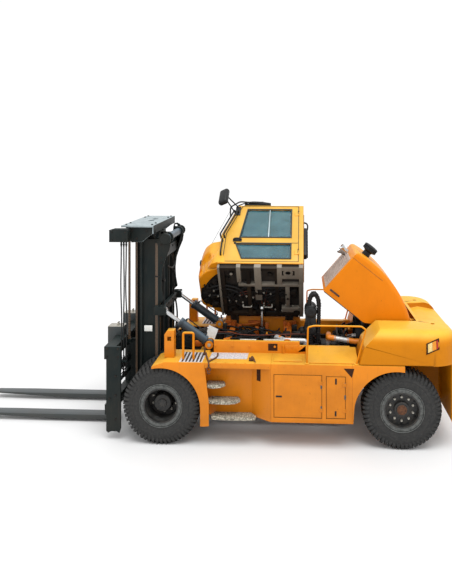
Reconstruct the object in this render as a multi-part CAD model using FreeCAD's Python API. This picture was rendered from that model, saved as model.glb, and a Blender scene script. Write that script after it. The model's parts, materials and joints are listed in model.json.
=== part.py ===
"""Heavy diesel counterbalance forklift with a side-tilting cab and a hinged rear hood.

Frame of the script: +X points forward, to the forks, +Y to the left, +Z up, in millimetres.
x = 0 at the drive axle, y = 0 on the middle plane, z = 0 on the ground.  The finished
pieces are moved together so that the origin lies under the middle of the whole machine.
"""
import FreeCAD, Part
import math
import os

Vec = FreeCAD.Vector
AXIS_X, AXIS_Y, AXIS_Z = Vec(1, 0, 0), Vec(0, 1, 0), Vec(0, 0, 1)

# ---------------------------------------------------------------- driving dimensions
WHEELBASE = 3440.0
REAR_X = -WHEELBASE

# tyres 12.00-20 and their wheels
TYRE_R = 562.5
TYRE_W = 310.0
RIM_R = 254.0
DUAL_GAP = 55.0
FRONT_TYRE_OUT = 1235.0
REAR_TYRE_OUT = 1200.0
FIT_GAP = 0.3              # between curved pieces that seat on each other
RUN_GAP = 0.05             # radial play of a pin in its eye
MOVE_GAP = 6.0             # between pieces that pass each other

# body
BODY_HALF = 1260.0
SKIN = 12.0
DECK_Z = 1205.0
DECK_T = 20.0
DECK_FRONT_X = 130.0
WELL_FRONT_X = -640.0      # rear edge of the front fender, front of the step well
WELL_REAR_X = -1300.0
BOX_FRONT_X = -1585.0
BOX_REAR_X = -2735.0
BODY_BOTTOM_Z = 380.0
ARCH_R = 575.0
ARCH_Z = 540.0
WELL_Y = 1050.0
DOOR_PIN_R = 7.0           # hinge barrels of the side box doors
BEAM_Y = 700.0
BEAM_W = 60.0
BEAM_TOP_Z = 1377.0
BEAM_FRONT_X = -700.0
BEAM_REAR_X = -1990.0

# main frame
FRAME_Y = 440.0
FRAME_T = 60.0
FRAME_BOTTOM_Z = 420.0
FRAME_TOP_Z = 1150.0
FRAME_FRONT_X = -190.0
FRAME_REAR_X = -2760.0
FRONT_MEMBER_X, REAR_MEMBER_X, MEMBER_T = -560.0, -2680.0, 60.0
SADDLE_HALF = 320.0
SADDLE_Z = TYRE_R + 250

# counterweight
CW_REAR_X = -4270.0
CW_FRONT_X = -2830.0
CW_SIDE_TOP_Z = 1460.0
CW_CROWN_Z = 1680.0
CW_BOTTOM_Z = 390.0
CW_SIDE_BOTTOM_Z = 1212.0
CW_WELL_HALF = 590.0
CW_WALL_X = -4140.0
CW_CORNER_R = 420.0
CW_LOWER_X = -3700.0       # front face of the block between the wheels

# axles
AXLE_R = 130.0
AXLE_HALF = 562.0
KINGPIN_Y = 840.0
KINGPIN_R = 30.0
TRUNNION_Z, TRUNNION_R = TYRE_R + 90, 70.0

# mast
RAIL_BOTTOM_Z = 120.0
RAIL_TOP_Z = 2860.0
OUTER_X0, OUTER_X1 = 180.0, 480.0
OUTER_Y0, OUTER_Y1 = 430.0, 545.0
OUTER_WEB_Y, WEB_T = 478.0, 25.0
INNER_X0, INNER_X1 = 290.0, 592.0
INNER_Y0, INNER_Y1 = 300.0, 420.0
INNER_WEB_Y = 350.0
FLANGE_T = 34.0
TOP_PLATE_Z = 3075.0
TOP_PLATE_T = 28.0
TOP_PLATE_HALF = 780.0
TOP_PLATE_X0, TOP_PLATE_X1 = 215.0, 710.0
LIFT_STROKE = 1360.0
INNER_TOP_Z = 2740.0       # underside of the inner mast's top cross member
LIFT_X, LIFT_Y, LIFT_R, LIFT_ROD_R = 234.0, 225.0, 50.0, 33.0
LIFT_FOOT_Z, LIFT_HEAD_Z = 352.0, 2560.0
TOP_TUBE_X, TOP_TUBE_Z, TOP_TUBE_R = 70.0, 2880.0, 46.0

# carriage and forks
CAR_HALF = 1100.0
CAR_X0, CAR_X1 = 625.0, 872.0
CAR_TOP_Z = 1360.0
CAR_BOTTOM_Z = 100.0
END_PLATE_T = 40.0
BAR_X0 = 700.0
SHANK_X0, SHANK_X1 = 880.0, 970.0
FORK_TIP_X = 3256.0
FORK_Y = 420.0
FORK_W = 200.0
FORK_TOP_Z, FORK_BOTTOM_Z = 112.0, 40.0
FORK_HOOK_Z = 1495.0

# tilt cylinders
TILT_Y = 590.0
TILT_PIN = (100.0, 1780.0)
TILT_FOOT = (-615.0, 1280.0)
TILT_BARREL_R, TILT_ROD_R, TILT_PIN_R = 66.0, 32.0, 28.0
TILT_EYE_HALF = 35.0       # half width of the rod's eye
TILT_BARREL_SHARE = 0.66
TILT_ROD_START = 300.0     # the rod's inner end, measured from the foot pin
TILT_PLAY = 10.0           # room around the mast's pin, where the linkage is opened
EYE_WALL = 20.0
TILT_EAR_REACH = 62.0      # outer face of the foot's ears, from the cylinder's middle
TILT_BACK_DEG, TILT_FORWARD_DEG = 10.0, 6.0

# cab, drawn closed and then swung open about its right-hand hinge
CAB_HALF = 600.0
CAB_Z0 = 1420.0
CAB_H = 1490.0
CAB_REAR_X = -2050.0
CAB_FRONT_X = -650.0
CAB_ROOF_FRONT_X = -900.0
CAB_WALL = 40.0
CAB_HINGE_Y, CAB_HINGE_Z = -640.0, 1395.0
CAB_HINGE_R, CAB_LUG_R = 22.0, 34.0
CAB_STAND_X = (-860.0, -1800.0)
CAB_OPEN_DEG = 55.0
COWL_FRONT_X = -300.0
COWL_HALF = 490.0
DOOR_X0, DOOR_X1 = -1965.0, -730.0
DOOR_Z0, DOOR_Z1 = 1462.0, 2850.0
DOOR_GAP = 6.0
CAB_DOOR_PIN_R = 9.0
PANE = 8.0
RAM_X = -1350.0
RAM_FOOT = (-340.0, 590.0)
RAM_HEAD = (-360.0, 1325.0)
RAM_PLAY = 19.0            # room around the cab's pin, where the linkage is opened
RAM_BARREL_R, RAM_ROD_R, RAM_PIN_R = 44.0, 22.0, 16.0
RAM_BARREL_SHARE, RAM_ROD_START = 0.675, 375.0

# hood, drawn closed and then swung open about its rear hinge
HOOD_HALF = 550.0
HOOD_WALL = 22.0
HOOD_HINGE = (-3700.0, 1622.0)
HOOD_OPEN_DEG = 38.0
HOOD_FRONT_X = -2345.0
HOOD_BOTTOM_Z = 1165.0
HOOD_TOP_Z = 1950.0
HOOD_ROUND = 70.0

# plain power units
ENGINE_TOP_Z = 1120.0
RADIATOR_X = -2960.0

parts = {}


# ---------------------------------------------------------------- shape helpers
def box(x0, x1, y0, y1, z0, z1):
    """A block between two corners."""
    low = Vec(min(x0, x1), min(y0, y1), min(z0, z1))
    return Part.makeBox(abs(x1 - x0), abs(y1 - y0), abs(z1 - z0), low)


def both_sides(shape):
    """The shape and its mirror image on the other side of the machine."""
    return [shape, shape.mirror(Vec(0, 0, 0), AXIS_Y)]


def rod(start, end, radius):
    """A round bar from one point to another."""
    run = Vec(*end) - Vec(*start)
    return Part.makeCylinder(radius, run.Length, Vec(*start), run)


def side_plate(outline, y0, y1):
    """An outline of (x, z) points, made into a plate that runs from y0 to y1."""
    wire = Part.makePolygon([Vec(x, y0, z) for x, z in outline + outline[:1]])
    return Part.Face(wire).extrude(Vec(0, y1 - y0, 0))


def plan_plate(outline, z0, z1):
    """An outline of (x, y) points, made into a plate that runs from z0 to z1."""
    wire = Part.makePolygon([Vec(x, y, z0) for x, y in outline + outline[:1]])
    return Part.Face(wire).extrude(Vec(0, 0, z1 - z0))


def cross_plate(outline, x0, x1):
    """An outline of (y, z) points, made into a plate that runs from x0 to x1."""
    wire = Part.makePolygon([Vec(x0, y, z) for y, z in outline + outline[:1]])
    return Part.Face(wire).extrude(Vec(x1 - x0, 0, 0))


def turned(profile, x, z):
    """A closed profile of (radius, y) points, turned about a line along Y at (x, z)."""
    wire = Part.makePolygon([Vec(x, y, z + r) for r, y in profile + profile[:1]])
    return Part.Face(wire).revolve(Vec(x, 0, z), AXIS_Y, 360)


def fuse(shapes):
    """One solid from shapes that meet."""
    whole = shapes[0].multiFuse(shapes[1:]) if len(shapes) > 1 else shapes[0]
    return whole.removeSplitter()


def cut(shape, tools):
    """The shape without the tools."""
    return shape.cut(Part.makeCompound(tools)) if tools else shape


def bent_bar(points, radius, bend):
    """A round bar along straight runs, with an arc of radius bend at each corner."""
    pts = [Vec(*p) for p in points]
    edges, start = [], pts[0]
    for before, corner, after in zip(pts, pts[1:], pts[2:]):
        inward, outward = (before - corner).normalize(), (after - corner).normalize()
        half = inward.getAngle(outward) / 2
        reach = bend / math.tan(half)
        first, last = corner + inward * reach, corner + outward * reach
        middle_way = (inward + outward).normalize()
        middle = corner + middle_way * (bend / math.sin(half) - bend)
        edges += [Part.LineSegment(start, first).toShape(), Part.Arc(first, middle, last).toShape()]
        start = last
    edges.append(Part.LineSegment(start, pts[-1]).toShape())
    path = Part.Wire(edges)
    ring = Part.Wire(Part.makeCircle(radius, pts[0], pts[1] - pts[0]))
    return path.makePipeShell([ring], True, False)


def rounded_edges(shape, radius, chosen):
    """The shape with a fillet on each edge that the test accepts."""
    edges = [edge for edge in shape.Edges if chosen(edge)]
    return shape.makeFillet(radius, edges) if edges else shape


def add(name, *shapes):
    """Keep the finished solids of one piece under its name."""
    parts[name] = shapes[0] if len(shapes) == 1 else Part.makeCompound(list(shapes))


# ---------------------------------------------------------------- wheels and axles
def tyre(x, y_out):
    """One tyre: straight beads, bulging walls and a flat tread."""
    y_in = y_out - TYRE_W
    r, w = TYRE_R, RIM_R
    wall = [(w, 30), (w + 45, 6), (w + 165, 0), (r - 62, 10), (r - 14, 24), (r, 62)]
    profile = [(radius, y_in + inset) for radius, inset in wall]
    profile += [(radius, y_out - inset) for radius, inset in reversed(wall)]
    return turned(profile, x, TYRE_R)


def rim_ring(x, y_out):
    """The barrel and the two flanges that carry one tyre."""
    y_in = y_out - TYRE_W
    inner, seat, lip = RIM_R - 22, RIM_R - FIT_GAP, RIM_R + 26
    profile = [(inner, y_in + 2), (lip, y_in + 2), (lip, y_in + 13), (seat, y_in + 20),
               (seat, y_out - 20), (lip, y_out - 13), (lip, y_out - 2), (inner, y_out - 2)]
    return turned(profile, x, TYRE_R)


def hub(x, steps):
    """A stepped hub: (radius, y) pairs from the inner face to the outer face, on one axis."""
    profile = [(0, steps[0][1])] + steps + [(0, steps[-1][1])]
    return turned(profile, x, TYRE_R)


def front_wheels():
    """Twin drive wheels; the outer one is a deep dish."""
    outer, inner = FRONT_TYRE_OUT, FRONT_TYRE_OUT - TYRE_W - DUAL_GAP
    tyres = [tyre(0, outer), tyre(0, inner)]
    dish = outer - TYRE_W + 22
    middle = hub(0, [(112, AXLE_HALF + FIT_GAP), (112, inner - 40), (RIM_R - 12, inner - 40),
                     (RIM_R - 12, dish), (150, dish), (150, dish + 60), (128, outer - 135),
                     (118, outer - 120), (60, outer - 112), (60, outer - 96)])
    rims = fuse([rim_ring(0, outer), rim_ring(0, inner), middle])
    for side, sign in (("left", 1), ("right", -1)):
        flip = (lambda s: s) if sign > 0 else (lambda s: s.mirror(Vec(0, 0, 0), AXIS_Y))
        add("front_tyres_" + side, *[flip(shape) for shape in tyres])
        add("front_wheel_" + side, flip(rims))


def rear_wheels():
    """Single steered wheels with a bolted disc and a short hub."""
    out = REAR_TYRE_OUT
    disc = out - 95
    middle = hub(REAR_X, [(100, KINGPIN_Y + 95), (100, disc - 24), (RIM_R - 12, disc - 24),
                          (RIM_R - 12, disc), (110, disc), (104, out - 44), (82, out - 38),
                          (76, out - 24), (40, out - 20)])
    bearing = rod((REAR_X, KINGPIN_Y + 94, TYRE_R), (REAR_X, disc - 60, TYRE_R), 52 + FIT_GAP)
    wheel = fuse([rim_ring(REAR_X, out), middle]).cut(bearing)
    for side, sign in (("left", 1), ("right", -1)):
        flip = (lambda s: s) if sign > 0 else (lambda s: s.mirror(Vec(0, 0, 0), AXIS_Y))
        add("rear_tyre_" + side, flip(tyre(REAR_X, out)))
        add("rear_wheel_" + side, flip(wheel))


def knuckles():
    """The steered stub axles that turn on the kingpins."""
    block = box(REAR_X - 70, REAR_X + 70, KINGPIN_Y - 60, KINGPIN_Y + 60, TYRE_R - 120, TYRE_R + 120)
    flange = rod((REAR_X, KINGPIN_Y + 55, TYRE_R), (REAR_X, KINGPIN_Y + 88, TYRE_R), 95)
    spindle = rod((REAR_X, KINGPIN_Y + 80, TYRE_R), (REAR_X, REAR_TYRE_OUT - 160, TYRE_R), 52)
    bore = rod((REAR_X, KINGPIN_Y, 0), (REAR_X, KINGPIN_Y, 2 * TYRE_R), KINGPIN_R + RUN_GAP)
    left = fuse([block, flange, spindle]).cut(bore)
    add("knuckle_left", left)
    add("knuckle_right", left.mirror(Vec(0, 0, 0), AXIS_Y))


def steer_axle():
    """The welded beam with a yoke and a kingpin at each end."""
    beam = box(REAR_X - 105, REAR_X + 105, -KINGPIN_Y + 150, KINGPIN_Y - 150, TYRE_R - 130, TYRE_R + 130)
    ram = rod((REAR_X + 150, -430, TYRE_R - 60), (REAR_X + 150, 430, TYRE_R - 60), 62)
    ram_mount = box(REAR_X + 90, REAR_X + 160, -160, 160, TYRE_R - 110, TYRE_R - 10)
    trunnion = rod((REAR_X - 220, 0, TRUNNION_Z), (REAR_X + 220, 0, TRUNNION_Z), TRUNNION_R)
    ends = []
    for sign in (1, -1):
        y0, y1 = sign * (KINGPIN_Y - 155), sign * (KINGPIN_Y + 55)
        for z0, z1 in ((TYRE_R - 165, TYRE_R - 128), (TYRE_R + 128, TYRE_R + 165)):
            ends.append(box(REAR_X - 75, REAR_X + 75, y0, y1, z0, z1))
        ends.append(box(REAR_X - 105, REAR_X + 105, y0, sign * (KINGPIN_Y - 110), TYRE_R - 165, TYRE_R + 165))
        ends.append(rod((REAR_X, sign * KINGPIN_Y, TYRE_R - 175),
                        (REAR_X, sign * KINGPIN_Y, TYRE_R + 175), KINGPIN_R))
    add("steer_axle", fuse([beam, ram, ram_mount, trunnion] + ends))


def drive_axle():
    """The drive axle: a round housing and the differential behind it."""
    tube = rod((0, -AXLE_HALF, TYRE_R), (0, AXLE_HALF, TYRE_R), AXLE_R)
    bowl = rod((-70, -190, TYRE_R), (-70, 190, TYRE_R), 225)
    nose = rod((-200, 0, TYRE_R), (-470, 0, TYRE_R), 95)
    add("drive_axle", fuse([tube, bowl, nose]))


# ---------------------------------------------------------------- chassis
def main_frame():
    """Two deep side plates, cross members, outriggers and the rear saddle."""
    pieces = []
    tube = rod((0, -AXLE_HALF, TYRE_R), (0, AXLE_HALF, TYRE_R), AXLE_R + FIT_GAP)
    for sign in (1, -1):
        y0, y1 = sign * FRAME_Y, sign * (FRAME_Y + FRAME_T)
        outline = [(FRAME_FRONT_X, TYRE_R - 105), (FRAME_FRONT_X, FRAME_TOP_Z - 190), (-330, FRAME_TOP_Z),
                   (FRAME_REAR_X, FRAME_TOP_Z), (FRAME_REAR_X, 700), (-2560, FRAME_BOTTOM_Z),
                   (-420, FRAME_BOTTOM_Z)]
        pieces.append(side_plate(outline, y0, y1))
        low, high = TYRE_R - 100, TYRE_R + 100
        pieces.append(box(FRAME_FRONT_X - 60, FRAME_FRONT_X, sign * 240, sign * (FRAME_Y + FRAME_T), low, high))
        pieces.append(box(FRAME_FRONT_X - 1, -85, sign * 240, sign * (FRAME_Y - 15), low, high).cut(tube))
        for x in (-760, BEAM_REAR_X + 60, FRAME_REAR_X + 60):
            pieces.append(box(x - 60, x + 40, sign * (FRAME_Y + FRAME_T - 5), sign * (BEAM_Y - FIT_GAP), 960, 1110))
    for x, z0, z1 in ((FRONT_MEMBER_X, 880, 1060), (-1395, FRAME_BOTTOM_Z, 520), (REAR_MEMBER_X, 560, 1130)):
        pieces.append(box(x - MEMBER_T / 2, x + MEMBER_T / 2, -FRAME_Y - 5, FRAME_Y + 5, z0, z1))
    pieces.append(box(FRAME_REAR_X + 60, CW_LOWER_X + FIT_GAP, -SADDLE_HALF, SADDLE_HALF, SADDLE_Z, FRAME_TOP_Z))
    pieces += trunnion_hangers()
    add("main_frame", fuse(pieces + tilt_feet() + ram_foot()))


def trunnion_hangers():
    """The two plates under the saddle that the steer axle's trunnion rests in."""
    bore = rod((REAR_X - 300, 0, TRUNNION_Z), (REAR_X + 300, 0, TRUNNION_Z), TRUNNION_R + FIT_GAP)
    plates = [box(x, x + 40, -100, 100, TRUNNION_Z - TRUNNION_R - 12, SADDLE_Z + 5)
              for x in (REAR_X - 190, REAR_X + 150)]
    return [plate.cut(bore) for plate in plates]


def tilt_feet():
    """Brackets on the side plates that carry the rear eyes of the tilt cylinders."""
    x, z = TILT_FOOT
    shapes = []
    for sign in (1, -1):
        for y0 in (TILT_Y - TILT_EAR_REACH, TILT_Y + TILT_EAR_REACH - 20):
            ear = side_plate([(x - 75, FRAME_TOP_Z - 60), (x + 75, FRAME_TOP_Z - 60), (x + 42, z + 40),
                              (x - 42, z + 40)], sign * y0, sign * (y0 + 20))
            shapes.append(ear)
        shapes.append(box(x - 75, x + 75, sign * (FRAME_Y + FRAME_T - 5), sign * (TILT_Y + TILT_EAR_REACH),
                          FRAME_TOP_Z - 90, FRAME_TOP_Z - 60))
        shapes.append(rod((x, sign * (TILT_Y - 68), z), (x, sign * (TILT_Y + 68), z), TILT_PIN_R))
    return shapes


def front_fenders():
    """The wheel housings: an arched side skin, the deck over the tyres and the rear wall."""
    top = DECK_Z
    outline = [(DECK_FRONT_X, top - 70), (-60, top), (WELL_FRONT_X, top), (WELL_FRONT_X, top - 80),
               (WELL_FRONT_X - 60, 640),
               (WELL_FRONT_X - 60, 300), (WELL_FRONT_X, 292), (DECK_FRONT_X, 292)]
    skin = side_plate(outline, BODY_HALF - SKIN, BODY_HALF)
    arch = Part.makeCylinder(ARCH_R, 100, Vec(0, BODY_HALF - 50, ARCH_Z), AXIS_Y)
    below = box(-ARCH_R, DECK_FRONT_X + 500, BODY_HALF - 50, BODY_HALF + 50, 0, ARCH_Z)
    nose = box(ARCH_R - 560, ARCH_R + 100, BODY_HALF - 50, BODY_HALF + 50, 0, ARCH_Z + 500)
    skin = cut(skin, [arch, below, nose])
    deck_outline = [(DECK_FRONT_X, top - 70), (-60, top), (WELL_FRONT_X, top), (WELL_FRONT_X, top - DECK_T),
                    (-60, top - DECK_T), (DECK_FRONT_X, top - 70 - DECK_T)]
    inner = TILT_Y + TILT_EAR_REACH + 13
    deck = side_plate(deck_outline, inner, BODY_HALF - SKIN + 2)
    wall = box(WELL_FRONT_X, WELL_FRONT_X + 14, inner, BODY_HALF - SKIN + 2, 330, top - DECK_T + 2)
    foot = box(-520, -470, FRAME_Y + 5, inner + 5, FRAME_TOP_Z + FIT_GAP, top - DECK_T + 1)
    add("front_fenders", *both_sides(fuse([skin, deck, wall, foot])))


def step_wells():
    """The recess behind the front wheel, with its deck and the slanted panel behind it."""
    top = DECK_Z
    front, rear = WELL_FRONT_X - FIT_GAP, BOX_FRONT_X + FIT_GAP
    deck = box(front, rear, BEAM_Y + BEAM_W + FIT_GAP, BODY_HALF, top - DECK_T, top)
    lip = box(front - 2, rear, BODY_HALF - SKIN, BODY_HALF, top - 78, top - DECK_T + 1)
    back = box(front, WELL_REAR_X, WELL_Y - SKIN, WELL_Y, BODY_BOTTOM_Z, top - DECK_T + 1)
    slant = plan_plate([(WELL_REAR_X + 2, WELL_Y), (WELL_REAR_X + 2, WELL_Y - SKIN), (rear, BODY_HALF - SKIN),
                        (rear, BODY_HALF)], BODY_BOTTOM_Z, top - DECK_T + 1)
    floor = plan_plate([(front, WELL_Y), (front, WELL_Y - 200), (rear, WELL_Y - 200), (rear, BODY_HALF - SKIN),
                        (WELL_REAR_X, WELL_Y)], BODY_BOTTOM_Z, BODY_BOTTOM_Z + 14)
    add("step_wells", *both_sides(fuse([deck, lip, back, slant, floor])))


def steps():
    """Three grating treads on each side, each one longer than the one above it."""
    shapes = []
    for z, x0, x1 in ((880, -600, -925), (655, -650, -1140), (430, -712, -1370)):
        outline = [(x0 - 50, WELL_Y + FIT_GAP), (x0, WELL_Y + 90), (x0 - 22, WELL_Y + 168), (x0 - 120, BODY_HALF - 20),
                   (x1 + 160, BODY_HALF - 14), (x1 + 60, BODY_HALF - 50), (x1, WELL_Y + 88), (x1 + 40, WELL_Y + FIT_GAP)]
        if x1 < WELL_REAR_X:
            outline[-2:] = [(x1, WELL_Y + 120), (WELL_REAR_X + 12, WELL_Y + FIT_GAP)]
            outline[-3] = (x1 + 20, BODY_HALF - 40)
        if x0 > WELL_FRONT_X:
            outline[:3] = [(WELL_FRONT_X - 14, WELL_Y + FIT_GAP), (WELL_FRONT_X - 14, WELL_Y + 90), (x0 - 60, WELL_Y + 168)]
        shapes.append(plan_plate(outline, z - 46, z))
    add("steps", *[side for tread in shapes for side in both_sides(tread)])


def box_openings():
    """The two door openings of the left side box, as (front x, rear x, bottom z, top z)."""
    return {"side_door_large": (-1628.0, -2308.0, 452.0, 1060.0),
            "side_door_small": (-2368.0, -2640.0, 452.0, 1045.0)}


def side_boxes():
    """The hollow left equipment box with two door openings, and the right hydraulic tank."""
    y0, y1 = BEAM_Y + BEAM_W + FIT_GAP, BODY_HALF
    outer = box(BOX_FRONT_X, BOX_REAR_X, y0, y1, BODY_BOTTOM_Z, DECK_Z)
    hollow = box(BOX_FRONT_X - SKIN, BOX_REAR_X + SKIN, y0 + SKIN, y1 - SKIN, BODY_BOTTOM_Z + SKIN, DECK_Z - DECK_T)
    doors = [box(x0, x1, y1 - 2 * SKIN, y1 + 5, z0, z1) for x0, x1, z0, z1 in box_openings().values()]
    add("side_box_left", cut(outer, [hollow] + doors))
    add("hydraulic_tank_right", outer.mirror(Vec(0, 0, 0), AXIS_Y))


def side_doors():
    """The two doors of the left side box, each with its hinge knuckles on the rear edge."""
    for name, (x0, x1, z0, z1) in box_openings().items():
        leaf = box(x0 - 5, x1 + 5, BODY_HALF - SKIN, BODY_HALF, z0 + 5, z1 - 5)
        pin_y = BODY_HALF + DOOR_PIN_R + FIT_GAP
        barrels = [rod((x1, pin_y, z), (x1, pin_y, z + 50), DOOR_PIN_R) for z in (z0 + 90, z1 - 140)]
        plates = [box(x1, x1 + 40, BODY_HALF - 1, BODY_HALF + 6, z, z + 50) for z in (z0 + 90, z1 - 140)]
        add(name, fuse([leaf] + barrels + plates))


def rear_arches():
    """The side panels over the steered wheels and the deck behind the side boxes."""
    top = DECK_Z
    edge = Part.Wire([
        Part.LineSegment(Vec(BOX_REAR_X - FIT_GAP, 0, BODY_BOTTOM_Z), Vec(BOX_REAR_X - FIT_GAP, 0, top)).toShape(),
        Part.LineSegment(Vec(BOX_REAR_X - FIT_GAP, 0, top), Vec(REAR_X - 30, 0, top)).toShape(),
        Part.LineSegment(Vec(REAR_X - 30, 0, top), Vec(REAR_X - 30, 0, 1118)).toShape(),
        Part.Arc(Vec(REAR_X - 30, 0, 1118), Vec(-2945, 0, 960), Vec(-2765, 0, 620)).toShape(),
        Part.LineSegment(Vec(-2765, 0, 620), Vec(-2749, 0, BODY_BOTTOM_Z)).toShape(),
        Part.LineSegment(Vec(-2749, 0, BODY_BOTTOM_Z), Vec(BOX_REAR_X - FIT_GAP, 0, BODY_BOTTOM_Z)).toShape()])
    skin = Part.Face(edge).extrude(Vec(0, SKIN, 0))
    skin.translate(Vec(0, BODY_HALF - SKIN, 0))
    deck = box(BOX_REAR_X - FIT_GAP, REAR_X - 30, CW_WELL_HALF, BODY_HALF - SKIN + 1, top - DECK_T, top)
    add("rear_arches", *both_sides(fuse([skin, deck])))


def inner_beams():
    """The raised beams along the inner edges of the decks, with the sloped covers behind them."""
    beam = box(BEAM_FRONT_X, BEAM_REAR_X, BEAM_Y, BEAM_Y + BEAM_W, 900, BEAM_TOP_Z)
    notch = side_plate([(BEAM_REAR_X + 40, BEAM_TOP_Z - 150), (BEAM_REAR_X + 200, BEAM_TOP_Z - 150),
                        (BEAM_REAR_X + 200, BEAM_TOP_Z - 60), (BEAM_REAR_X + 100, BEAM_TOP_Z - 60)],
                       BEAM_Y - 5, BEAM_Y + BEAM_W + 5)
    post = box(BEAM_REAR_X + 40, BOX_REAR_X, BEAM_Y, BEAM_Y + BEAM_W, 900, BEAM_TOP_Z - 60)
    slope = cross_plate([(BEAM_Y + BEAM_W - 1, DECK_Z + FIT_GAP), (BODY_HALF - 60, DECK_Z + FIT_GAP),
                         (BODY_HALF - 60, DECK_Z + 12), (BEAM_Y + BEAM_W - 1, BEAM_TOP_Z - 60)], -2085, CW_FRONT_X + 10)
    add("inner_beams", *both_sides(fuse([beam.cut(notch), post, slope])))


def counterweight():
    """The cast counterweight: two crowned shoulders, a rounded rear and the hood well between."""
    r = CW_CORNER_R
    half, rear, front = BODY_HALF, CW_REAR_X, CW_FRONT_X
    s = r * (1 - math.sqrt(0.5))

    def body(z0, z1, front_x):
        corners = [Vec(front_x, -half, z0), Vec(front_x, half, z0), Vec(rear + r, half, z0), Vec(rear, half - r, z0),
                   Vec(rear, r - half, z0), Vec(rear + r, -half, z0)]
        middles = {2: Vec(rear + s, half - s, z0), 4: Vec(rear + s, s - half, z0)}
        edges = []
        for i, start in enumerate(corners):
            end = corners[(i + 1) % len(corners)]
            curve = Part.Arc(start, middles[i], end) if i in middles else Part.LineSegment(start, end)
            edges.append(curve.toShape())
        return Part.Face(Part.Wire(edges)).extrude(Vec(0, 0, z1 - z0))

    upper = body(CW_SIDE_BOTTOM_Z, CW_CROWN_Z, front)
    upper = rounded_edges(upper, 210, lambda e: abs(e.CenterOfMass.z - CW_CROWN_Z) < 1
                          and e.CenterOfMass.x < front - 1)
    nose = side_plate([(front - 380, CW_CROWN_Z + 50), (front + 10, CW_CROWN_Z + 50), (front + 10, CW_SIDE_BOTTOM_Z),
                       (front, CW_SIDE_BOTTOM_Z), (front - 75, CW_SIDE_TOP_Z), (front - 260, CW_SIDE_TOP_Z + 180)],
                      -half - 5, half + 5)
    well = box(HOOD_HINGE[0] - 60, front + 10, -CW_WELL_HALF, CW_WELL_HALF, CW_SIDE_BOTTOM_Z - 10, CW_CROWN_Z + 60)
    saddle_top = side_plate([(HOOD_HINGE[0] - 61, 1560), (CW_REAR_X + 300, 1600), (CW_REAR_X - 10, 1560),
                             (CW_REAR_X - 10, CW_CROWN_Z + 60), (HOOD_HINGE[0] - 61, CW_CROWN_Z + 60)],
                            -CW_WELL_HALF, CW_WELL_HALF)
    upper = cut(upper, [nose, well, saddle_top])
    lower = body(CW_BOTTOM_Z, CW_SIDE_BOTTOM_Z + 1, CW_LOWER_X)
    wheel_space = [box(CW_WALL_X, -3600, sign * (SADDLE_HALF + 20), sign * (half + 5), 0, CW_SIDE_BOTTOM_Z)
                   for sign in (1, -1)]
    sides = [box(CW_REAR_X - 10, -3600, sign * 1130, sign * (half + 5), 0, CW_SIDE_BOTTOM_Z) for sign in (1, -1)]
    skirt_slope = side_plate([(-3600, 0), (CW_REAR_X - 20, 0), (CW_REAR_X - 20, 520), (-4160, CW_BOTTOM_Z + 2), (-3600, CW_BOTTOM_Z + 2)],
                             -half, half)
    lower = cut(lower, wheel_space + sides + [skirt_slope])
    pin_bore = rod((CW_REAR_X + 60, 0, CW_BOTTOM_Z - 10), (CW_REAR_X + 60, 0, 780), 26)
    pin_mouth = box(CW_REAR_X - 20, CW_REAR_X + 110, -90, 90, 560, 660)
    whole = cut(fuse([upper, lower]), [pin_bore, pin_mouth])
    eyes = [rod((-3950, sign * 760, 1400), (-3950, sign * 760, 1800), 32) for sign in (1, -1)]
    add("counterweight", fuse([cut(whole, eyes)] + hood_hinges()))


def hood_hinges():
    """Two hinge brackets and pins at the rear of the hood well."""
    x, z = HOOD_HINGE
    shapes = []
    for sign in (1, -1):
        arm = box(x - 62, x + 14, sign * 330, sign * 360, z - 14, z + 14)
        pin = rod((x, sign * 290, z), (x, sign * 400, z), 12)
        foot = box(x - 62, x - 30, sign * 300, sign * 390, 1480, z + 14)
        shapes += [arm, pin, foot]
    return shapes


def powertrain():
    """The engine and its gearbox as one plain block, and the radiator behind them."""
    seat = MEMBER_T / 2 + FIT_GAP
    engine = box(-1440, REAR_MEMBER_X + seat, -330, 330, 540, ENGINE_TOP_Z)
    sump = box(-1600, -2400, -200, 200, 430, 541)
    gearbox = box(FRONT_MEMBER_X - seat, -1270, -300, 300, 480, 1040)
    add("powertrain", fuse([engine, sump]), gearbox)
    add("radiator", box(RADIATOR_X, RADIATOR_X - 200, -470, 470, FRAME_TOP_Z + FIT_GAP, 1470))


def intake():
    """The two-canister air cleaner and the charge-air pipes beside the engine."""
    z0, x, r = 1360.0, -2160.0, 98.0
    can = fuse([rod((x, 60, z0 + r), (x, 430, z0 + r), r), rod((x, 60, z0 + 370), (x, 430, z0 + 370), r),
                box(x - 85, x + 85, 60, 430, z0 + r, z0 + 370)])
    leg = box(x - 40, x + 40, 230, 290, ENGINE_TOP_Z + FIT_GAP, z0 + 20)
    low = ENGINE_TOP_Z + FIT_GAP
    front_pipe = bent_bar([(-1620, 250, low), (-1620, 250, 1300), (-1760, 400, 1300), (-2080, 410, 1295),
                           (-2080, 410, 1180), (-2080, 250, 1180), (-2080, 250, low)], 34, 42)
    rear_pipe = bent_bar([(-2440, 250, low), (-2440, 250, 1360), (-2440, 430, 1360), (-2840, 425, 1300),
                          (RADIATOR_X + FIT_GAP, 425, 1300)], 40, 60)
    add("air_intake", fuse([can, leg]), front_pipe, rear_pipe)


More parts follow.
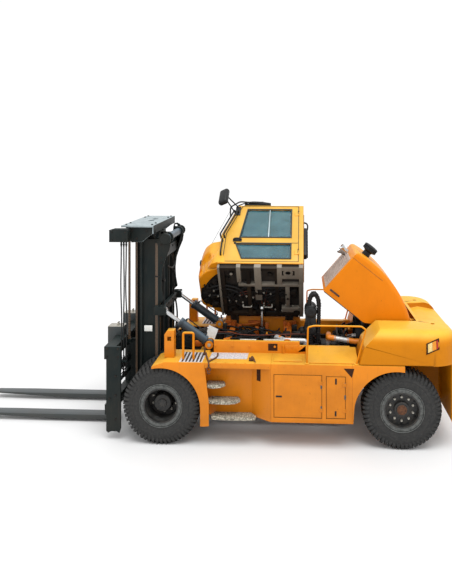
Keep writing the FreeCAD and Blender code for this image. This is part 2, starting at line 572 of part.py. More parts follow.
def handrails():
    """Hand rails along the decks beside the hood, and upright loops at the front of the decks."""
    y, r = BODY_HALF - 50, 17
    z0 = DECK_Z + FIT_GAP
    ends = (-2098, -2795)
    rail = bent_bar([(ends[0], y, DECK_Z + 62), (-2112, y, 1722), (-2200, y, 1745), (-2865, y, 1745),
                     (-2928, y, 1700), (ends[1], y, DECK_Z + 62)], r, 60)
    feet = [box(x - 25, x + 25, y + 12, y + 40, z0, DECK_Z + 70) for x in ends]
    studs = [rod((x, y, z0 + 22), (x, y, DECK_Z + 80), 20) for x in ends]
    tabs = [box(x - 30, x + 30, y - 12, y + 42, z0 + 12, z0 + 24) for x in ends]
    y, leg_z = 1120, DECK_Z + FIT_GAP
    loop = bent_bar([(-305, y, leg_z), (-305, y, 1590), (-455, y, 1590), (-455, y, leg_z)], r, 55)
    add("handrails", *both_sides(fuse([rail] + feet + studs + tabs)), *both_sides(loop))


def lamp_posts():
    """Square posts for the front lamps, with square lamp holes."""
    x0, x1, y0, y1 = -158, -14, 925, 1065
    z0, z1 = DECK_Z + FIT_GAP, 1600
    post = side_plate([(x0, z0), (x1, z0), (x1, z1 - 60), (x1 - 40, z1), (x0, z1)], y0, y1)
    hollow = box(x0 + 10, x1 - 10, y0 + 10, y1 - 10, z0 + 12, z1 - 72)
    holes = [box(x0 - 5, x1 + 5, y0 + 45, y1 - 45, z1 - 150, z1 - 90),
             box(x0 + 45, x1 - 45, y0 - 5, y1 + 5, z1 - 150, z1 - 90)]
    add("lamp_posts", *both_sides(cut(post, [hollow] + holes)))


def cab_hinges():
    """Stands on the right inner beam that carry the cab's hinge pins."""
    y, z = CAB_HINGE_Y, CAB_HINGE_Z
    inner = y - CAB_LUG_R - MOVE_GAP
    shapes = []
    for x in CAB_STAND_X:
        foot = box(x - 70, x + 70, -BEAM_Y - BEAM_W, inner, BEAM_TOP_Z + FIT_GAP, BEAM_TOP_Z + 24)
        side = box(x - 70, x + 70, -BEAM_Y + FIT_GAP, inner, BEAM_TOP_Z - 130, BEAM_TOP_Z + 10)
        ears = [box(x + dx, x + dx + 20, inner - 15, y + 30, z - 34, z + 20) for dx in (-62, 42)]
        pin = rod((x - 66, y, z), (x + 66, y, z), CAB_HINGE_R)
        shapes.append(fuse([foot, side, pin] + ears))
    add("cab_hinges", *shapes)


def cab_rests():
    """The two cross beams, with rubber feet, that the closed cab stands on."""
    beams = []
    for x in CAB_STAND_X:
        shapes = [box(x - 45, x + 45, -BEAM_Y + 32, BEAM_Y - FIT_GAP, 1190, 1262)]
        for sign in (1, -1):
            shapes.append(box(x - 40, x + 40, sign * (FRAME_Y + 4), sign * (FRAME_Y + FRAME_T - 4),
                              FRAME_TOP_Z + FIT_GAP, 1191))
            shapes.append(rod((x, sign * 530, 1261), (x, sign * 530, CAB_Z0 - 75 - MOVE_GAP), 45))
        beams.append(fuse(shapes))
    add("cab_rests", *beams)


# ---------------------------------------------------------------- mast
def rail(x0, x1, y0, y1, web_y, z1):
    """One rolled mast rail: two flanges joined by a web."""
    front = box(x1 - FLANGE_T, x1, y0, y1, RAIL_BOTTOM_Z, z1)
    back = box(x0, x0 + FLANGE_T, y0, y1, RAIL_BOTTOM_Z, z1)
    web = box(x0 + 1, x1 - 1, web_y, web_y + WEB_T, RAIL_BOTTOM_Z, z1)
    return fuse([front, back, web])


def outer_mast():
    """The fixed mast stage: two rails, cross members, axle bearings, top tube and tilt ears."""
    pieces = []
    rear = OUTER_X0 - 60
    pin_x, pin_z = TILT_PIN
    eye_x, eye_z = 137, 2962
    for sign in (1, -1):
        one = rail(OUTER_X0, OUTER_X1, OUTER_Y0, OUTER_Y1, OUTER_WEB_Y, RAIL_TOP_Z)
        pieces.append(one if sign > 0 else one.mirror(Vec(0, 0, 0), AXIS_Y))
        y0, y1 = sign * (OUTER_Y0 + 5), sign * (OUTER_Y1 - 5)
        saddle = fuse([rod((0, y0, TYRE_R), (0, y1, TYRE_R), AXLE_R + 42),
                       box(0, OUTER_X0 + 2, y0, y1, TYRE_R - AXLE_R - 30, TYRE_R + AXLE_R + 30)])
        pieces.append(saddle.cut(rod((0, y0 - 5 * sign, TYRE_R), (0, y1 + 5 * sign, TYRE_R), AXLE_R + FIT_GAP)))
        gusset = side_plate([(OUTER_X0 + 12, 2440), (OUTER_X0 - 2, 2440), (22, 2740), (26, 2900), (70, 2985),
                             (118, 3012), (168, 3000), (186, 2940), (OUTER_X0 + 12, RAIL_TOP_Z)],
                            sign * (OUTER_Y1 - 27), sign * OUTER_Y1)
        pieces.append(gusset.cut(rod((eye_x, sign * 500, eye_z), (eye_x, sign * 560, eye_z), 24)))
        slot = TILT_EYE_HALF + MOVE_GAP
        ears = [box(pin_x - 45, pin_x + 140, sign * y0, sign * y1, pin_z - 65, pin_z + 65)
                for y0, y1 in ((OUTER_Y1 - 5, TILT_Y - slot), (TILT_Y + slot, TILT_Y + slot + 20))]
        ears += [box(pin_x + 75, pin_x + 140, sign * (OUTER_Y1 - 5), sign * (TILT_Y + slot + 5), pin_z - 65, pin_z + 65),
                 rod((pin_x, sign * (OUTER_Y1 - 10), pin_z), (pin_x, sign * (TILT_Y + slot + 26), pin_z), TILT_PIN_R)]
        pieces += ears
    for z0, z1 in ((980, 1100), (1700, 1820), (2560, 2720)):
        pieces.append(box(rear, OUTER_X0 + 2, -OUTER_Y1, OUTER_Y1, z0, z1))
    pieces.append(box(OUTER_X0 + 2, OUTER_X0 + 30, -OUTER_Y0 - 2, OUTER_Y0 + 2, 160, LIFT_FOOT_Z))
    pieces.append(box(OUTER_X0 + 2, INNER_X0 - MOVE_GAP, -300, 300, LIFT_FOOT_Z - 50, LIFT_FOOT_Z))
    pieces.append(rod((TOP_TUBE_X, -OUTER_Y1 + 5, TOP_TUBE_Z), (TOP_TUBE_X, OUTER_Y1 - 5, TOP_TUBE_Z), TOP_TUBE_R))
    add("outer_mast", fuse(pieces))


def lift_cylinders():
    """The barrels on the outer mast; gives back the rods that raise the inner mast."""
    rod_foot = LIFT_HEAD_Z - LIFT_STROKE - 80
    barrels, rods = [], []
    for sign in (1, -1):
        y = sign * LIFT_Y
        body = rod((LIFT_X, y, LIFT_FOOT_Z), (LIFT_X, y, LIFT_HEAD_Z), LIFT_R)
        barrels.append(body.cut(rod((LIFT_X, y, rod_foot - 10), (LIFT_X, y, LIFT_HEAD_Z + 5), LIFT_ROD_R + RUN_GAP)))
        rods.append(rod((LIFT_X, y, rod_foot), (LIFT_X, y, INNER_TOP_Z + 1), LIFT_ROD_R))
    add("lift_barrels", *barrels)
    return rods


def inner_mast(lift_rods):
    """The moving mast stage: two rails, a cross member at the top and the foot, and the lift rods."""
    left = rail(INNER_X0, INNER_X1, INNER_Y0, INNER_Y1, INNER_WEB_Y, TOP_PLATE_Z)
    pieces = [left, left.mirror(Vec(0, 0, 0), AXIS_Y)]
    pieces.append(box(INNER_X0 + 1, INNER_X0 + FLANGE_T - 4, -INNER_Y0 - 2, INNER_Y0 + 2, 140, 300))
    pieces.append(box(LIFT_X - 45, INNER_X0 + 2, -285, 285, INNER_TOP_Z, INNER_TOP_Z + 110))
    pieces.append(box(INNER_X0, INNER_X0 + 120, -INNER_Y0 - 2, INNER_Y0 + 2, INNER_TOP_Z, INNER_TOP_Z + 110))
    add("inner_mast", fuse(pieces + lift_rods))


def mast_stage():
    """The inner mast with the lift cylinders that raise it."""
    inner_mast(lift_cylinders())


def mast_head():
    """The wide cover plate on top of the inner mast, its gussets and the chain pulleys."""
    plate = box(TOP_PLATE_X0, TOP_PLATE_X1, -TOP_PLATE_HALF, TOP_PLATE_HALF, TOP_PLATE_Z, TOP_PLATE_Z + TOP_PLATE_T)
    slots = []
    for y in (-250, 30):
        ends = [rod((430, y + dy, TOP_PLATE_Z - 5), (430, y + dy, TOP_PLATE_Z + 40), 42) for dy in (-40, 40)]
        slots.append(fuse(ends + [box(388, 472, y - 40, y + 40, TOP_PLATE_Z - 5, TOP_PLATE_Z + 40)]))
    back = box(TOP_PLATE_X0, TOP_PLATE_X0 + 16, -TOP_PLATE_HALF, TOP_PLATE_HALF, TOP_PLATE_Z - 95, TOP_PLATE_Z + 1)
    pieces = [cut(plate, slots), back]
    for sign in (1, -1):
        gusset = side_plate([(650, TOP_PLATE_Z + 1), (240, TOP_PLATE_Z + 1), (240, 2975), (400, 2850), (560, 2840),
                             (650, 2950)], sign * 720, sign * 745)
        web = side_plate([(650, TOP_PLATE_Z + 1), (500, TOP_PLATE_Z + 1), (560, 2850), (650, 2850)],
                         sign * 478, sign * 492)
        axle = rod((600, sign * 424, 2925), (600, sign * 500, 2925), 20)
        pulley = rod((600, sign * 430, 2925), (600, sign * 470, 2925), 78)
        pieces += [gusset, web, axle, pulley]
    add("mast_head", fuse(pieces))


def hose_box():
    """The hose pulley box on an arm at the left end of the mast head."""
    case = box(560, 842, 792, 960, 2872, 3048)
    lid = box(575, 800, 800, 950, 3047, 3066)
    arm = box(570, 640, 745 + FIT_GAP, 793, 2925, 3000)
    add("hose_box", fuse([case, lid, arm]))


def mast_lines():
    """The two lift chains and the three hoses in front of the mast."""
    chains = [box(655, BAR_X0 - 2, sign * 430, sign * 470, 1290 + FIT_GAP, 2925) for sign in (1, -1)]
    chains = [chain.cut(rod((600, sign * 420, 2925), (600, sign * 480, 2925), 78 + FIT_GAP))
              for chain, sign in zip(chains, (1, -1))]
    add("lift_chains", *chains)
    hoses = [rod((x, 905, 1102), (x, 905, 2872), 10) for x in (596, 634, 672)]
    add("mast_hoses", *hoses)


def carriage():
    """The fork carriage: end plates, two fork bars, roller plates and the fork positioners."""
    pieces = []
    for sign in (1, -1):
        y0, y1 = sign * (CAR_HALF - END_PLATE_T), sign * CAR_HALF
        lower = side_plate([(CAR_X0, 1180), (CAR_X1 - 32, 1180), (CAR_X1 - 32, CAR_BOTTOM_Z + 30),
                            (CAR_X1 - 60, CAR_BOTTOM_Z), (CAR_X1 - 110, CAR_BOTTOM_Z + 24), (CAR_X0 + 60, CAR_BOTTOM_Z + 24),
                            (CAR_X0 + 20, CAR_BOTTOM_Z), (CAR_X0, CAR_BOTTOM_Z + 60)], y0, y1)
        upper = box(CAR_X0, CAR_X1, y0, y1, 1175, CAR_TOP_Z)
        side = box(345, BAR_X0 + 2, sign * 240, sign * 290, 160, 1250)
        pieces += [lower, upper, side]
        for z in (300, 1050):
            pieces.append(rod((441, sign * 288, z), (441, sign * 345, z), 110))
        pieces.append(box(BAR_X0 - 62, BAR_X0 + 2, sign * 425, sign * 480, 1235, 1290))
        pieces.append(rod((790, sign * 30, 900), (790, sign * (CAR_HALF - 30), 900), 46))
        pieces.append(rod((790, sign * 60, 700), (790, sign * (CAR_HALF - 30), 700), 30))
    pieces.append(box(BAR_X0, CAR_X1, -CAR_HALF + 30, CAR_HALF - 30, 1190, CAR_TOP_Z))
    pieces.append(box(BAR_X0 + 60, CAR_X1, -CAR_HALF + 30, CAR_HALF - 30, 350, 500))
    pieces.append(box(BAR_X0, BAR_X0 + 62, -290, 290, 350, 500))
    pieces.append(box(BAR_X0 - 2, 850, -60, 60, 480, 1200))
    pieces.append(box(582, BAR_X0 + 4, 865, 945, 1080, 1102 - FIT_GAP))
    pieces.append(box(BAR_X0 - 10, BAR_X0 + 12, 865, 945, 1080, 1200))
    add("carriage", fuse(pieces))


def forks():
    """The two forks: hook, shank and a tapering blade with a rounded tip."""
    y0, y1 = FORK_Y - FORK_W / 2, FORK_Y + FORK_W / 2
    heel = 60
    outline = [(BAR_X0 + 50, FORK_HOOK_Z - 110), (BAR_X0 + 50, FORK_HOOK_Z), (SHANK_X1 + 30, FORK_HOOK_Z),
               (SHANK_X1 + 30, 1250), (SHANK_X1, 1190), (SHANK_X1, FORK_TOP_Z + heel), (SHANK_X1 + heel, FORK_TOP_Z),
               (FORK_TIP_X - 40, FORK_TOP_Z), (FORK_TIP_X, FORK_TOP_Z - 10), (FORK_TIP_X, FORK_TOP_Z - 22),
               (SHANK_X1 + 900, FORK_BOTTOM_Z),
               (SHANK_X0 + 40, FORK_BOTTOM_Z), (SHANK_X0, FORK_BOTTOM_Z + 40), (SHANK_X0, CAR_TOP_Z + FIT_GAP),
               (BAR_X0 + 50, CAR_TOP_Z + FIT_GAP)]
    blank = side_plate(outline, y0, y1)
    corner = 78
    trims = []
    for side, sign in ((y0, 1), (y1, -1)):
        square = box(FORK_TIP_X - corner, FORK_TIP_X + 5, side - 5 * sign, side + corner * sign, 0, 400)
        round_ = Part.makeCylinder(corner, 420, Vec(FORK_TIP_X - corner, side + corner * sign, -10))
        trims.append(square.cut(round_))
        trims.append(plan_plate([(FORK_TIP_X - 700, side - sign), (FORK_TIP_X + 10, side - sign),
                                 (FORK_TIP_X + 10, side + 20 * sign)], 0, 400))
    left = cut(blank, trims)
    add("fork_left", left)
    add("fork_right", left.mirror(Vec(0, 0, 0), AXIS_Y))


# ---------------------------------------------------------------- cylinders
def ram(name, foot, head, share, rod_start, play, radii, widths, side=None):
    """A hydraulic cylinder from its foot pin to its head pin.

    foot and head are points, side mirrors it, radii are those of the barrel, the rod and the pins,
    widths are the eye's half width at the foot and at the head, share is the barrel's part of
    the length, rod_start is the rod's inner end, measured from the foot, and play is the room
    around the head pin.
    """
    barrel_r, rod_r, pin_r = radii
    along = Vec(*head) - Vec(*foot)
    unit = Vec(along).normalize()
    across = AXIS_Y if abs(along.y) < 1 else AXIS_X

    def point(distance):
        return tuple(Vec(*foot) + unit * distance)

    def eye(centre, radius, half):
        c = Vec(*centre)
        return Part.makeCylinder(radius, 2 * half, c - across * half, across)

    length = along.Length
    top = length * share
    barrel = fuse([rod(point(barrel_r + 12), point(top), barrel_r), eye(foot, barrel_r - 8, widths[0]),
                   rod(point(10), point(barrel_r + 14), widths[0] * 0.8)])
    barrel = cut(barrel, [eye(foot, pin_r + RUN_GAP, widths[0] + 5),
                          rod(point(barrel_r + 60), point(top + 5), rod_r + RUN_GAP)])
    hole = pin_r + play
    piston = fuse([rod(point(rod_start), point(length - pin_r), rod_r), eye(head, hole + EYE_WALL, widths[1])])
    piston = cut(piston, [eye(head, hole, widths[1] + 5)])
    for kind, shape in (("barrel", barrel), ("rod", piston)):
        if side == "right":
            shape = shape.mirror(Vec(0, 0, 0), AXIS_Y)
        add(name + "_" + kind + ("_" + side if side else ""), shape)


def tilt_cylinders():
    """The two cylinders that tilt the mast."""
    for side in ("left", "right"):
        ram("tilt", (TILT_FOOT[0], TILT_Y, TILT_FOOT[1]), (TILT_PIN[0], TILT_Y, TILT_PIN[1]), TILT_BARREL_SHARE,
            TILT_ROD_START, TILT_PLAY, (TILT_BARREL_R, TILT_ROD_R, TILT_PIN_R), (38, TILT_EYE_HALF), side)


# ---------------------------------------------------------------- cab
def swung_cab(shape):
    """A piece of the closed cab, swung to its open place."""
    return shape.rotated(Vec(0, CAB_HINGE_Y, CAB_HINGE_Z), AXIS_X, CAB_OPEN_DEG)


def cab_outline(inset):
    """The side outline of the cab, moved inward by inset."""
    kink_z = CAB_Z0 + 700
    top = CAB_Z0 + CAB_H - inset
    return [(CAB_REAR_X + inset, CAB_Z0 + inset), (CAB_FRONT_X - inset, CAB_Z0 + inset),
            (CAB_FRONT_X - inset, kink_z), (CAB_ROOF_FRONT_X - inset * 0.9, top), (CAB_REAR_X + inset, top)]


def windscreen(thick, y_half, low, high):
    """A plate in the middle of the sloped front, between two heights."""
    kink_z, top = CAB_Z0 + 700, CAB_Z0 + CAB_H
    slope = (CAB_ROOF_FRONT_X - CAB_FRONT_X) / (top - kink_z)
    centre = -CAB_WALL / 2

    def x_at(z, shift):
        return CAB_FRONT_X + slope * (z - kink_z) + centre + shift

    points = [(x_at(low, thick / 2), low), (x_at(high, thick / 2), high), (x_at(high, -thick / 2), high),
              (x_at(low, -thick / 2), low)]
    return side_plate(points, -y_half, y_half)


SIDE_WINDOWS = {"upper": [(-1840, 2030), (-970, 2030), (-1060, 2762), (-1840, 2762)],
                "lower": [(-1840, 1525), (-1040, 1525), (-910, 1880), (-1840, 1880)]}
REAR_WINDOW = (-450.0, 450.0, 2030.0, 2780.0)
SCREEN_HALF, SCREEN_Z0, SCREEN_Z1 = 520.0, 2140.0, 2830.0
ROOF_WINDOW = (-1330.0, -1010.0, -400.0, 400.0)


def door_outline(gap):
    """The outline of the door opening, made smaller by gap."""
    return [(DOOR_X0 + gap, DOOR_Z0 + gap), (DOOR_X1 - gap, DOOR_Z0 + gap), (DOOR_X1 - gap, 2120),
            (DOOR_X1 - 225 - gap, DOOR_Z1 - gap), (DOOR_X0 + gap, DOOR_Z1 - gap)]


def cab_shell():
    """The cab's body: floor, walls, pillars and roof, with the openings cut."""
    outer = side_plate(cab_outline(0), -CAB_HALF, CAB_HALF)
    roof_z = CAB_Z0 + CAB_H
    outer = rounded_edges(outer, 60, lambda e: abs(e.CenterOfMass.z - roof_z) < 1)
    inner = side_plate(cab_outline(CAB_WALL), CAB_WALL - CAB_HALF, CAB_HALF - CAB_WALL)
    tools = [inner, side_plate(door_outline(0), CAB_HALF - CAB_WALL - 5, CAB_HALF + 5)]
    tools += [side_plate(points, -CAB_HALF - 5, CAB_WALL - CAB_HALF + 5) for points in SIDE_WINDOWS.values()]
    y0, y1, z0, z1 = REAR_WINDOW
    tools.append(box(CAB_REAR_X - 5, CAB_REAR_X + CAB_WALL + 5, y0, y1, z0, z1))
    x0, x1, y0, y1 = ROOF_WINDOW
    tools.append(box(x0, x1, y0, y1, roof_z - CAB_WALL - 5, roof_z + 5))
    tools.append(windscreen(2.5 * CAB_WALL, SCREEN_HALF, SCREEN_Z0, SCREEN_Z1))
    add("cab_shell", swung_cab(cut(outer, tools)))


def cab_glass():
    """The fixed panes of the cab."""
    middle = CAB_WALL / 2
    panes = [side_plate(points, -CAB_HALF + middle - PANE / 2, -CAB_HALF + middle + PANE / 2)
             for points in SIDE_WINDOWS.values()]
    y0, y1, z0, z1 = REAR_WINDOW
    panes.append(box(CAB_REAR_X + middle - PANE / 2, CAB_REAR_X + middle + PANE / 2, y0, y1, z0, z1))
    x0, x1, y0, y1 = ROOF_WINDOW
    roof_z = CAB_Z0 + CAB_H
    panes.append(box(x0, x1, y0, y1, roof_z - middle - PANE / 2, roof_z - middle + PANE / 2))
    panes.append(windscreen(PANE, SCREEN_HALF, SCREEN_Z0, SCREEN_Z1))
    add("cab_glass", *[swung_cab(pane) for pane in panes])


def cab_door():
    """The left door with its two panes and its hinges on the rear edge."""
    y0, y1 = CAB_HALF - CAB_WALL, CAB_HALF
    leaf = side_plate(door_outline(DOOR_GAP), y0, y1)
    leaf = cut(leaf, [side_plate(points, y0 - 5, y1 + 5) for points in SIDE_WINDOWS.values()])
    pieces = [leaf]
    pin_y = y1 + CAB_DOOR_PIN_R + FIT_GAP
    for z in (DOOR_Z0 + 160, DOOR_Z1 - 260):
        pieces.append(rod((DOOR_X0, pin_y, z), (DOOR_X0, pin_y, z + 90), CAB_DOOR_PIN_R))
        pieces.append(box(DOOR_X0, DOOR_X0 + 70, y1 - 1, pin_y, z, z + 90))
    add("cab_door", swung_cab(fuse(pieces)))
    middle = (y0 + y1) / 2
    panes = [side_plate(points, middle - PANE / 2, middle + PANE / 2) for points in SIDE_WINDOWS.values()]
    add("door_glass", *[swung_cab(pane) for pane in panes])


def cab_cowl():
    """The rounded nose of the cab over the pedals."""
    front, back = COWL_FRONT_X, CAB_FRONT_X + FIT_GAP
    body = side_plate([(back, CAB_Z0 + 10), (front - 30, CAB_Z0 - 75), (front, CAB_Z0 + 60), (front, CAB_Z0 + 440),
                       (front - 60, CAB_Z0 + 590), (back, CAB_Z0 + 660)], -COWL_HALF, COWL_HALF)
    plan = [(back, COWL_HALF), (front - 190, COWL_HALF), (front - 60, COWL_HALF - 100), (front, COWL_HALF - 240)]
    plan += [(x, -y) for x, y in reversed(plan)]
    add("cab_cowl", swung_cab(body.common(plan_plate(plan, CAB_Z0 - 200, CAB_Z0 + 800))))


def cab_underframe():
    """The welded frame under the cab floor with its hinge lugs and the ram bracket."""
    z0, z1 = CAB_Z0 - 75, CAB_Z0 - FIT_GAP
    pieces = [box(-2030, -700, sign * 500, sign * 560, z0, z1) for sign in (1, -1)]
    pieces += [box(x, x + 60, -501, 501, z0, z1) for x in (-2030, -1640, -1180, -760)]
    for x in CAB_STAND_X:
        lug = box(x - 36, x + 36, CAB_HINGE_Y - 20, -558, CAB_HINGE_Z - 24, z1)
        lug = lug.fuse(rod((x - 36, CAB_HINGE_Y, CAB_HINGE_Z), (x + 36, CAB_HINGE_Y, CAB_HINGE_Z), CAB_LUG_R))
        bore = rod((x - 70, CAB_HINGE_Y, CAB_HINGE_Z), (x + 70, CAB_HINGE_Y, CAB_HINGE_Z), CAB_HINGE_R + RUN_GAP)
        ceiling = box(x - 40, x + 40, CAB_HINGE_Y - 60, -600, CAB_Z0 - FIT_GAP, CAB_Z0 + 60)
        pieces.append(lug.cut(bore).cut(ceiling))
    head_y, head_z = RAM_HEAD
    pieces.append(box(-1641, -1179, head_y - 60, head_y + 60, z1 - 12, z1))
    for x in (RAM_X - 46, RAM_X + 26):
        pieces.append(box(x, x + 20, head_y - 34, head_y + 34, head_z - 30, z1 - 6))
    pieces.append(rod((RAM_X - 50, head_y, head_z), (RAM_X + 50, head_y, head_z), RAM_PIN_R))
    add("cab_underframe", swung_cab(fuse(pieces)))


def cab_inside():
    """The seat and the steering column with its wheel."""
    floor = CAB_Z0 + CAB_WALL + FIT_GAP
    base = box(-1660, -1250, -200, 200, floor, floor + 240)
    cushion = box(-1690, -1170, -250, 250, floor + 239, floor + 380)
    back = side_plate([(-1690, floor + 300), (-1560, floor + 300), (-1640, floor + 950), (-1760, floor + 950)], -240, 240)
    rests = [box(-1620, -1260, y, y + 70, floor + 430, floor + 500) for y in (-330, 260)]
    rest_arms = [box(-1640, -1600, y0, y1, floor + 430, floor + 490) for y0, y1 in ((-262, -238), (238, 262))]
    add("seat", swung_cab(fuse([base, cushion, back] + rests + rest_arms)))
    foot, top = (-800, 0, floor), (-985, 0, floor + 640)
    column = rod(foot, (-989, 0, floor + 655), 45)
    axis = Vec(*top) - Vec(*foot)
    ring = Part.makeTorus(185, 14, Vec(*top) + Vec(axis).normalize() * 20, axis)
    spoke = Part.makeCylinder(186, 12, Vec(*top) + Vec(axis).normalize() * 12, axis)
    centre = Vec(*top)
    spoke = spoke.common(fuse([box(centre.x - 260, centre.x + 260, -22, 22, centre.z - 260, centre.z + 260),
                               box(centre.x - 40, centre.x + 40, -190, 190, centre.z - 60, centre.z + 100)]))
    foot_cut = box(-1000, -600, -100, 100, floor - 60, floor)
    add("steering_column", swung_cab(fuse([column, ring, spoke]).cut(foot_cut)))


def cab_mirror():
    """The mirror on two arms at the cab's left front corner."""
    start_y, start_z = CAB_HALF - 20, 2780
    x0 = -905
    upper = bent_bar([(x0, start_y - 10, start_z), (-800, 720, start_z + 40), (-590, 800, start_z + 40)], 11, 60)
    lower = bent_bar([(x0 + 52, start_y - 10, start_z - 160), (-760, 720, start_z - 120), (-590, 800, start_z - 60)], 11, 60)
    head = box(-640, -590, 700, 880, start_z - 190, start_z + 170)
    head = rounded_edges(head, 20, lambda e: True)
    shell_zone = side_plate(cab_outline(-FIT_GAP), -CAB_HALF - FIT_GAP, CAB_HALF + FIT_GAP)
    add("cab_mirror", swung_cab(fuse([upper, lower, head]).cut(shell_zone)))


def cab_ram():
    """The cylinder that tilts the cab, at its length with the cab open."""
    foot = (RAM_X, RAM_FOOT[0], RAM_FOOT[1])
    spin = FreeCAD.Rotation(AXIS_X, CAB_OPEN_DEG)
    hinge = Vec(RAM_X, CAB_HINGE_Y, CAB_HINGE_Z)
    head = hinge + spin.multVec(Vec(RAM_X, RAM_HEAD[0], RAM_HEAD[1]) - hinge)
    ram("cab_ram", foot, tuple(head), RAM_BARREL_SHARE, RAM_ROD_START, RAM_PLAY, (RAM_BARREL_R, RAM_ROD_R, RAM_PIN_R), (26, 20))
    return head


def ram_foot():
    """The ears on the middle cross member that carry the cab cylinder's foot."""
    y, z = RAM_FOOT
    pieces = [box(RAM_X - 50, RAM_X + 50, y - 70, y + 70, 515, 534)]
    for x in (RAM_X - 50, RAM_X + 30):
        pieces.append(box(x, x + 20, y - 36, y + 36, 530, z + 30))
    pieces.append(rod((RAM_X - 54, y, z), (RAM_X + 54, y, z), RAM_PIN_R))
    return pieces


# ---------------------------------------------------------------- hood
def swung_hood(shape):
    """A piece of the closed hood, swung to its open place."""
    x, z = HOOD_HINGE
    return shape.rotated(Vec(x, 0, z), AXIS_Y, -HOOD_OPEN_DEG)


def hood_side(inset):
    """The side face of the hood, moved inward by inset and open below where it is inset."""
    low = HOOD_BOTTOM_Z if inset == 0 else HOOD_BOTTOM_Z - 200
    hinge_x, hinge_z = HOOD_HINGE
    points = [Vec(HOOD_FRONT_X - inset, 0, low), Vec(HOOD_FRONT_X - 40 - inset, 0, HOOD_TOP_Z - inset),
              Vec(hinge_x + 710, 0, HOOD_TOP_Z - 15 - inset), Vec(hinge_x + 50 + inset, 0, hinge_z + 16 - inset),
              Vec(hinge_x + 12 + inset, 0, hinge_z - 32), Vec(hinge_x + 60 + inset, 0, hinge_z - 122),
              Vec(hinge_x + 550, 0, low + 20), Vec(hinge_x + 610, 0, low)]
    lines = [Part.LineSegment(points[0], points[1]).toShape(), Part.Arc(points[1], points[2], points[3]).toShape()]
    lines += [Part.LineSegment(points[i], points[(i + 1) % len(points)]).toShape() for i in range(3, len(points))]
    return Part.Face(Part.Wire(lines))


def hood_blank():
    """The outside of the closed hood as one solid, with rounded top edges."""
    face = hood_side(0)
    face.translate(Vec(0, -HOOD_HALF, 0))
    solid = face.extrude(Vec(0, 2 * HOOD_HALF, 0))

    def top_edge(edge):
        side = abs(abs(edge.CenterOfMass.y) - HOOD_HALF) < 1 and edge.Length > 1000 and edge.CenterOfMass.z > 1700
        return side or abs(edge.CenterOfMass.z - HOOD_TOP_Z) < 1

    return rounded_edges(solid, HOOD_ROUND, top_edge)


def hood():
    """The hollow hood with its hinge lugs, the air intake cap and the exhaust outlet."""
    blank = hood_blank()
    face = hood_side(HOOD_WALL)
    face.translate(Vec(0, HOOD_WALL - HOOD_HALF, 0))
    inner = face.extrude(Vec(0, 2 * (HOOD_HALF - HOOD_WALL), 0))
    shell = blank.cut(inner)
    x, z = HOOD_HINGE
    lugs = []
    for sign in (1, -1):
        for y0, y1 in ((292, 324), (366, 398)):
            lug = fuse([rod((x, sign * y0, z), (x, sign * y1, z), 17), box(x, x + 50, sign * y0, sign * y1, z - 17, z + 6)])
            lugs.append(lug)
    shell = fuse([shell] + lugs)
    shell = cut(shell, [rod((x, sign * 280, z), (x, sign * 410, z), 12 + RUN_GAP) for sign in (1, -1)])
    add("hood", swung_hood(shell))
    cap_x, cap_y = -2563, 200
    cap = fuse([rod((cap_x, cap_y, 1900), (cap_x, cap_y, 2052), 62), rod((cap_x, cap_y, 2050), (cap_x, cap_y, 2150), 118)])
    add("air_intake_cap", swung_hood(cap.cut(blank)))
    pipe_y, pipe_z = -200, 1780
    outlet = fuse([rod((-2500, pipe_y, pipe_z), (-2270, pipe_y, pipe_z), 62), rod((-2285, pipe_y, pipe_z), (-2235, pipe_y, pipe_z), 84)])
    add("exhaust_outlet", swung_hood(outlet.cut(blank)))


# ---------------------------------------------------------------- the whole machine
def build():
    """Make every piece."""
    for make in (front_wheels, rear_wheels, knuckles, steer_axle, drive_axle, main_frame,
                 front_fenders, step_wells, steps, side_boxes, side_doors, rear_arches, inner_beams,
                 counterweight, powertrain, intake, handrails, lamp_posts,
                 cab_hinges, cab_rests, outer_mast, mast_stage, mast_head, hose_box,
                 mast_lines, carriage, forks, tilt_cylinders, cab_shell, cab_glass, cab_door, cab_cowl,
                 cab_underframe, cab_inside, cab_mirror, cab_ram, hood):
        make()


def centred():
    """The move that puts the origin under the middle of the whole machine."""
    whole = Part.makeCompound(list(parts.values())).BoundBox
    return Vec(-(whole.XMin + whole.XMax) / 2, -(whole.YMin + whole.YMax) / 2, 0)


build()
MOVE = centred()
os.makedirs("parts", exist_ok=True)
for name, shape in parts.items():
    placed = shape.copy()
    placed.translate(MOVE)
    placed.exportStep("parts/" + name + ".step")
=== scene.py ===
"""Looks of the heavy diesel forklift: detailed pieces, materials, camera and lights.

Lengths in the piece functions are metres in the machine's own axes: +X forward, +Y to the
left, +Z up, x = 0 at the drive axle, y = 0 on the middle plane, z = 0 on the ground.
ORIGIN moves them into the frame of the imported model.
"""

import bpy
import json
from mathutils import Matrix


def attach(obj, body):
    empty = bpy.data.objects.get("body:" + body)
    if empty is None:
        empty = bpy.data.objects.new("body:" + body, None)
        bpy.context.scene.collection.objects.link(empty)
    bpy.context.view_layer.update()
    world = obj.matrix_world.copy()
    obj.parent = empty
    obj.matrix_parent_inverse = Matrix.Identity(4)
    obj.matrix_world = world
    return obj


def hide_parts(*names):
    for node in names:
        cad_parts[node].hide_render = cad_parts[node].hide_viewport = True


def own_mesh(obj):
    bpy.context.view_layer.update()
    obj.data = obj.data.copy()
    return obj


bl_info = {
    "name": "Diesel Forklift Looks",
    "version": (1, 0, 0),
    "blender": (4, 5, 0),
    "location": "View3D > Sidebar > Forklift",
    "description": "Builds the detailed pieces and materials of a heavy diesel forklift on its packed frame",
    "category": "Object",
}

import json
import math

import bmesh
import bpy
from mathutils import Matrix, Vector

